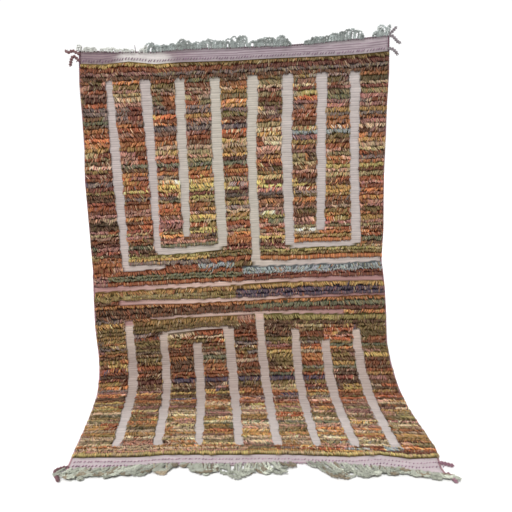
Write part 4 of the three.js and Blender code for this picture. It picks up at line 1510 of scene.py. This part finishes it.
    def knots(self, wefts, pile, rng):
        """Where each lock is knotted, in which row, and how far it can reach down."""
        in_pile = np.flatnonzero([not in_band(gap) for gap in wefts[:, 0]])
        reached = HALF_WIDTH + self.BESIDE
        per_row = round(2 * reached / pile.lock_pitch)
        row = np.repeat(in_pile, per_row)
        across = (np.tile((np.arange(per_row) + 0.5) / per_row, len(in_pile)) * 2 - 1) * reached
        across = across + rng.uniform(-self.STRAYS_ACROSS, self.STRAYS_ACROSS, len(row)) * pile.lock_pitch
        share = self.ROOT_SHARE * (1 + rng.uniform(-self.ROOT_UNEVEN, self.ROOT_UNEVEN, len(row)))
        gap, start, end, wide = wefts[row].T
        down = weft_down(gap, start + (end - start) * share, across)
        down = down + self.SWAY * waves(rng, *self.SWAY_WAVES)(across + row * self.SWAY_AHEAD)
        room = np.full(len(row), 1.0)
        for step in range(round(self.ROOM_SOUGHT * pile.lock_reach / self.ROOM_STEP), 0, -1):
            below = step * self.ROOM_STEP
            room = np.where(flat_woven(across, down + below), below, room)
        usual, uneven = self.RAGGED
        ragged = usual + uneven * waves(rng, *self.RAGGED_WAVES)(down + self.RAGGED_ACROSS * across)
        free = ~flat_woven(across, down, ragged) & (room + self.PAST_EDGE > self.LEAST_REACH)
        free &= (across > side_across(-1, down)) & (across < side_across(1, down))
        first = rng.uniform(0, 1, row.max() + 1)[row]
        tuft = np.floor(across / pile.clump + first)
        middle = (tuft + 0.5 - first) * pile.clump
        valley = (2 * (across - middle) / pile.clump) ** 2
        tufts = {"row": row, "across": across, "down": down, "room": room, "wide": wide,
                 "tuft": tuft.astype(int), "middle": middle, "valley": valley}
        return {key: value[free] for key, value in tufts.items()}

    def shapes(self, tufts, pile, rng):
        """The bent shape of each lock, out from its knot and then down over the next rows."""
        across, down, row = tufts["across"], tufts["down"], tufts["row"]
        count = len(row)
        lumps = waves(rng, *self.LUMP_WAVES)(across + row * self.LUMP_AHEAD)
        reach = pile.lock_reach * tufts["wide"] * self.uneven("reach", lumps, rng)
        last = row == row.max()
        past = np.where(last, self.LAST_PAST_EDGE, self.PAST_EDGE)
        reach = np.minimum(reach, tufts["room"] + past * self.uneven("past edge", lumps, rng))
        height = pile.height * self.uneven("height", lumps, rng)
        height = height * np.where(last, self.LAST_HEIGHT, 1)
        height = height * (1 - self.VALLEY_DEPTH * tufts["valley"])
        side = waves(rng, *self.LEAN_WAVES)(across + row * self.LEAN_AHEAD)
        slant = pile.lean * np.tanh(self.LEAN_TURN * side) + rng.normal(0, self.LEAN_UNEVEN, count)
        aside = slant.clip(-self.MOST_ASIDE, self.MOST_ASIDE) * reach
        aside = aside + self.GATHERED * (tufts["middle"] - across)
        margin = rng.uniform(*self.OVER_LINES, count)
        for left in self.HELD_BACK:
            over = flat_woven(across + aside, down + reach, margin)
            over |= flat_woven(across + aside / 2, down, margin)
            aside = np.where(over, aside * left, aside)
        centres = np.empty((count, len(self.SHAPE), 3))
        for index, part in enumerate(self.SHAPE):
            centres[:, index, 0] = across + part["aside"] * aside
            centres[:, index, 1] = down + part["fall"] * reach
            rise = height - self.ROOT_OUT - pile.lock_radius
            centres[:, index, 2] = self.ROOT_OUT + part["out"] * rise
        thick = pile.lock_radius * rng.uniform(*self.THICKNESS, count)
        radii = np.stack([part["thick"] * thick for part in self.SHAPE[1:-1]], axis=1)
        return centres, radii

    def uneven(self, kind, lumps, rng):
        """How much more or less than usual each lock has of something."""
        in_lumps, by_chance, least, most = self.UNEVEN[kind]
        return (1 + in_lumps * lumps + rng.normal(0, by_chance, len(lumps))).clip(least, most)

    def tints(self, tufts, streaks, rng):
        """Each lock's colour: mostly its streak's yarn, with the second one mixed in, under painted light
        and shade that change down the rug and across it.
        """
        row, cell = tufts["row"], streaks.cell(tufts["across"])
        count = len(row)
        chance = rng.random(count)
        near = np.clip(row + rng.integers(-1, 2, count), 0, len(streaks.main) - 1)
        yarn = np.where(chance < self.MAIN_YARN, streaks.main[row, cell],
                        np.where(chance < self.SECOND_YARN, streaks.second[row, cell],
                                 streaks.main[near, cell]))
        yarn = np.where(chance > self.STRAY, WOOL_NAMES.index("beige"), yarn)
        shades = np.exp(rng.normal(0, self.TUFT_LIGHTNESS, self.TUFT_SHADES))
        lightness = np.exp(rng.normal(*self.LOCK_LIGHTNESS, count)) * streaks.light[row, cell]
        lightness *= shades[(tufts["tuft"] + row * self.ROW_AHEAD) % self.TUFT_SHADES]
        # Painted light and shade over the whole pile, darker or brighter down the rug and across it
        lightness *= between(self.PAINTED_LIGHT_DOWN, tufts["down"] / LENGTH)
        lightness *= between(self.PAINTED_LIGHT_ACROSS, across_share(tufts["across"]))
        drift = np.exp(rng.normal(0, self.DRIFT, (count, 3)))
        return (wool_colours()[yarn] * lightness[:, None] * drift).clip(0.0, self.BRIGHTEST)


class RUG_OT_sides(bpy.types.Operator):
    """Overcasts the two long sides with turns of yarn"""

    bl_idname = "rug.sides"
    bl_label = "Overcast sides"

    SIDES = 8
    STEP = 0.0042
    HALF_WIDE = 0.0046
    HALF_THICK = 0.0036
    # How far it stands past the cloth's side and off its middle, and how deep its turns are
    PAST_SIDE = 0.003
    RAISED = 0.0012
    TURN_DEPTH = 0.13
    # Its colours, mauve, pink and dark; where it passes into pink, over what length and how far
    # on each side; where the dark top ends, and over what length; and how blotched it is
    TINTS = ((128, 94, 92), (186, 148, 154), (92, 66, 76))
    PINK_START = 0.9
    PINK_FADE = 0.6
    PINKNESS = {-1: 1.0, 1: 0.5}
    DARK_END = 0.09
    DARK_FADE = 0.02
    BLOTCHED = 0.4
    MAP_WIDTH = 400.0

    def execute(self, context):
        cloth = context.scene.rug_cloth
        joined = Joined()
        for side in (-1, 1):
            start, end = (float(edge_down(name, side * HALF_WIDTH)) for name in ("top_edge", "bottom_edge"))
            down = start + (end - start) * np.arange(0.0, 1.0, self.STEP / LENGTH)
            across = side_across(side, down) - side * (self.HALF_WIDE - self.PAST_SIDE)
            out = np.full(len(down), cloth.thickness / 2 + self.RAISED)
            path = np.stack((across, down, out), axis=1)
            angles = 2 * math.pi * np.arange(self.SIDES) / self.SIDES
            turns = 2 * math.pi * down[:, None] / cloth.overcast + angles[None]
            wraps = 1 + self.TURN_DEPTH * np.sin(turns)
            oval = 1 / np.hypot(np.cos(angles) / self.HALF_WIDE, np.sin(angles) / self.HALF_THICK)
            points = tube(path, np.zeros((len(down), 2)), oval[None] * wraps, self.SIDES)
            joined.add(points, len(down), self.SIDES, self.tints(down, side))
        colour = tuple(context.scene.rug_fringe.cord)
        finish = yarn_finish("overcast", colour, colour, self.BLOTCHED)
        add_piece(joined.mesh("overcast_sides", self.MAP_WIDTH), finish)
        return {"FINISHED"}

    def tints(self, down, side):
        """Mauve, dark at the top, and pinker down towards the left foot."""
        mauve, pink, dark = (seen(colour) for colour in self.TINTS)
        share = np.clip((down - self.PINK_START) / self.PINK_FADE, 0, 1) * self.PINKNESS[side]
        shades = blended(mauve, pink, share)
        shades = blended(shades, dark, (self.DARK_END - down) / self.DARK_FADE)
        return np.repeat(shades, self.SIDES, axis=0)


class RUG_OT_stitches(bpy.types.Operator):
    """Twines the rows of slanted stitches through the end bands"""

    bl_idname = "rug.stitches"
    bl_label = "Stitch rows"

    # Down the middle of a stitch: how far along it, of half its length, and how far out
    SHAPE = ((-1, 0.0002), (-0.5, 0.0026), (0.5, 0.0026), (1, 0.0002))
    RADIUS = 0.0024
    THICKNESS = (0.7, 1.1)
    # How uneven the stitches are in their places across and down and in their lightness, and
    # how blotched they are
    UNEVEN_ACROSS = 0.0016
    UNEVEN_DOWN = 0.0011
    UNEVEN_SHADE = 0.22
    BLOTCHED = 0.15

    def execute(self, context):
        cloth = context.scene.rug_cloth
        rng = np.random.default_rng(context.scene.rug_pile.seed + 1)
        centres, radii, tints = [], [], []
        for row in STITCH_ROWS:
            across = np.arange(-STITCHED, STITCHED, STITCH_PITCH)
            count = len(across)
            across = across + rng.normal(0, self.UNEVEN_ACROSS, count)
            down = edge_down(row["under"], across) + row["by"] + rng.normal(0, self.UNEVEN_DOWN, count)
            half = row["length"] / 2
            slope = math.atan(row["slant"])
            stitches = np.empty((count, len(self.SHAPE), 3))
            for index, (step, out) in enumerate(self.SHAPE):
                stitches[:, index, 0] = across + step * half * math.cos(slope)
                stitches[:, index, 1] = down - step * half * math.sin(slope)
                stitches[:, index, 2] = cloth.thickness + out
            centres.append(stitches)
            radii.append(np.full((count, 2), self.RADIUS) * rng.uniform(*self.THICKNESS, (count, 1)))
            tints.append(seen(row["tint"]) * np.exp(rng.normal(0, self.UNEVEN_SHADE, (count, 1))))
        points, faces, bake = locks(np.concatenate(centres), np.concatenate(radii))
        tints = np.repeat(np.concatenate(tints), 2 + 2 * LOCK_SIDES, axis=0)
        mesh = mesh_of("stitch_rows", points, faces, bake, tints)
        colour = tuple(context.scene.rug_fringe.cord)
        add_piece(mesh, yarn_finish("stitches", colour, colour, self.BLOTCHED))
        return {"FINISHED"}


class RUG_OT_fringe(bpy.types.Operator):
    """Makes the fringes of twisted looped warps and the headings that hold them"""

    bl_idname = "rug.fringe"
    bl_label = "Fringes"

    LOOP_STEPS = 22
    HEADING_STEPS = 160
    # How thick the heading's and the stray ends' plies are beside the loops'
    HEADING_THICK = 0.6
    STRAY_THICK = 0.4
    # The least reach that a loop is made with, the most beside that of its place, how far in its
    # roots may be, how wide it may be for its reach, and how uneven that is
    LEAST_REACH = 0.01
    MOST_REACH = 1.02
    ROOT_UNEVEN = 0.006
    WIDEST = 1.2
    SPANS = (0.6, 1.3)
    # How often loops curl, from where on, and how much of it goes along them
    CURLS = (6, 14)
    ANY_START = 6
    CURL_ALONG = 0.6
    # How far a loop's end may rise, and how far its roots lie out
    END_OUT = 0.01
    ROOT_OUT = 0.003
    THICKNESS = (0.75, 1.1)
    UNEVEN_SHADE = 0.25
    # The colour that the yarn is mixed with in patches, a painted shade standing for the shadows among the
    # loops, and how much
    PATCH_TINT = (122, 120, 100)
    BLOTCHED = 0.45
    MAP_WIDTH = 9.0

    def execute(self, context):
        settings = context.scene.rug_fringe
        rng = np.random.default_rng(context.scene.rug_pile.seed + 2)
        colour, patch_tint = (tuple(seen(tint)) for tint in (FRINGES["fringe_top"]["yarn"], self.PATCH_TINT))
        # The fringe yarn's darker patches are painted shade among the loops
        finish = yarn_finish("fringe yarn", colour, patch_tint, self.BLOTCHED)
        for name, fringe in FRINGES.items():
            joined = Joined()
            self.heading(joined, fringe, settings)
            for kind in fringe["loops"]:
                for loop in range(kind["count"]):
                    root = 2 * (loop + rng.uniform(0, 1)) / kind["count"] - 1
                    root *= HALF_WIDTH - FRINGE_INSET
                    loose = any(start < root < end for start, end in fringe["loose"])
                    if rng.random() < (kind["left"] if loose else 1):
                        self.loop(joined, fringe, kind, root, settings, rng)
            if fringe["away"] < 0:
                self.strays(joined, fringe, settings)
            piece = add_piece(joined.mesh(name + "_yarn", self.MAP_WIDTH), finish)
            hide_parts(name)
        return {"FINISHED"}

    def heading(self, joined, fringe, settings):
        """The yarn twined along the edge that holds the loops."""
        across = np.linspace(-HALF_WIDTH + FRINGE_INSET, HALF_WIDTH - FRINGE_INSET, self.HEADING_STEPS)
        down = edge_down(fringe["edge"], across) + fringe["away"] * (HEADING_GAP + HEADING / 2)
        path = np.stack((across, down, np.full(len(across), 2 * settings.ply_radius)), axis=1)
        radius = self.HEADING_THICK * settings.ply_radius
        twist_yarn(joined, path, radius, settings.twist, 2 * settings.step, seen(fringe["heading"]))

    def loop(self, joined, fringe, kind, root, settings, rng):
        """One loop of warp, from the end band out and back. At the left of the top there are few, painted
        nearly white as a painted highlight."""
        share, away = across_share(root), fringe["away"]
        reach = float(between(fringe["reach"], share)) * rng.uniform(kind["least"], self.MOST_REACH)
        in_highlight = away < 0 and root < HIGHLIGHT_TO
        if reach < self.LEAST_REACH or (in_highlight and rng.random() > HIGHLIGHT_KEPT):
            return
        edge = float(edge_down(fringe["edge"], root))
        start = edge + away * (HEADING_GAP + HEADING / 2 - rng.uniform(0, self.ROOT_UNEVEN))
        lean = float(between(fringe["lean"], share)) + rng.normal(0, fringe["lean_uneven"])
        span = min(kind["span"], self.WIDEST * reach) * rng.uniform(*self.SPANS)
        turns = np.linspace(0, math.pi, self.LOOP_STEPS)
        bow = np.sin(turns)
        rise = reach * bow ** kind["shape"]
        aside, along = (fringe["curl"] * bow * self.curl(turns, rng) for _ in range(2))
        rise = rise + away * self.CURL_ALONG * along
        out = 2 * settings.ply_radius + rng.uniform(0, self.END_OUT) * bow + self.ROOT_OUT * (1 - bow)
        across = root + span * (1 - np.cos(turns)) / 2 - span / 2 + lean * rise + aside
        path = np.stack((across, start + away * rise, out), axis=1)
        yarn = FLECK if away > 0 and rng.random() < FLECKED else fringe["yarn"]
        tint = seen(HIGHLIGHT_WHITE) if in_highlight else seen(yarn) * math.exp(rng.normal(0, self.UNEVEN_SHADE))
        radius = settings.ply_radius * rng.uniform(*self.THICKNESS)
        first = rng.uniform(0, self.ANY_START)
        twist_yarn(joined, path, radius, settings.twist, settings.step, tint, first)

    def curl(self, turns, rng):
        """How a loop waves along its way, from -1 to 1."""
        return np.sin(turns * rng.uniform(*self.CURLS) + rng.uniform(0, self.ANY_START))

    def strays(self, joined, fringe, settings):
        """The dark warp ends that stand alone."""
        for root, reach, lean in STRAYS:
            edge = float(edge_down(fringe["edge"], root))
            start = np.array((root, edge + STRAY_START, STRAY_START))
            way = np.array((lean * reach, -(reach + STRAY_START), 0))
            path = [start + way * share for share in (0.0, 0.5, 1.0)]
            radius = self.STRAY_THICK * settings.ply_radius
            twist_yarn(joined, path, radius, settings.twist, settings.step, seen(STRAY_TINT))


class RUG_OT_cord_ends(bpy.types.Operator):
    """Makes the loose twisted ends of the side cords at the corners"""

    bl_idname = "rug.cord_ends"
    bl_label = "Cord ends"

    TWIST = 0.024
    STEP = 0.004
    SIDES = 5
    # The colour that the yarn is blotched with, and how much
    PATCH_TINT = (110, 84, 90)
    BLOTCHED = 0.4
    MAP_WIDTH = 6.0

    def execute(self, context):
        settings = context.scene.rug_fringe
        patch_tint = tuple(seen(self.PATCH_TINT))
        finish = yarn_finish("side cord", tuple(settings.cord), patch_tint, self.BLOTCHED)
        for name, side, down, steps in CORD_ENDS:
            across = float(side_across(side, down)) + side * CORD_GAP
            start = np.array((across, down, 2 * settings.cord_radius))
            root, lead = (-side * CORD_ROOT, 0, CORD_ROOT_OUT), (side * CORD_LEAD, 0, 0)
            path = rounded(start + np.array((root, lead, *steps)))
            joined = Joined()
            corner = next(key for key in CORD_TINTS if key in name)
            tint = seen(CORD_TINTS[corner])
            twist_yarn(joined, path, settings.cord_radius, self.TWIST, self.STEP, tint, sides=self.SIDES)
            piece = add_piece(joined.mesh("twisted_" + name, self.MAP_WIDTH), finish)
            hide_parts(name)
        return {"FINISHED"}


class RUG_OT_facts(bpy.types.Operator):
    """A last step that does nothing"""

    bl_idname = "rug.facts"
    bl_label = "Cloth facts"

    def execute(self, context):
        return {"FINISHED"}


class RUG_PT_panel(bpy.types.Panel):
    """Lists what makes the rug"""

    bl_label = "Hung Pile Rug"
    bl_idname = "RUG_PT_panel"
    bl_space_type = "VIEW_3D"
    bl_region_type = "UI"
    bl_category = "Rug"

    def draw(self, context):
        for operator in OPERATORS:
            self.layout.operator(operator.bl_idname)
        for settings in SETTINGS:
            group = getattr(context.scene, settings)
            column = self.layout.column()
            for key in group.__annotations__:
                column.prop(group, key)


OPERATORS = (
    RUG_OT_stage,
    RUG_OT_cloth,
    RUG_OT_pile,
    RUG_OT_sides,
    RUG_OT_stitches,
    RUG_OT_fringe,
    RUG_OT_cord_ends,
    RUG_OT_facts,
)
SETTINGS = {
    "rug_pile": PileSettings,
    "rug_cloth": ClothSettings,
    "rug_fringe": FringeSettings,
    "rug_stage": StageSettings,
}


def register():
    for kind in (*SETTINGS.values(), *OPERATORS, RUG_PT_panel):
        bpy.utils.register_class(kind)
    for name, kind in SETTINGS.items():
        setattr(bpy.types.Scene, name, PointerProperty(type=kind))


def unregister():
    for name in SETTINGS:
        delattr(bpy.types.Scene, name)
    for kind in reversed((*SETTINGS.values(), *OPERATORS, RUG_PT_panel)):
        bpy.utils.unregister_class(kind)


def main():
    register()
    for operator in OPERATORS:
        group, name = operator.bl_idname.split(".")
        getattr(getattr(bpy.ops, group), name)()


if __name__ == "__main__":
    main()
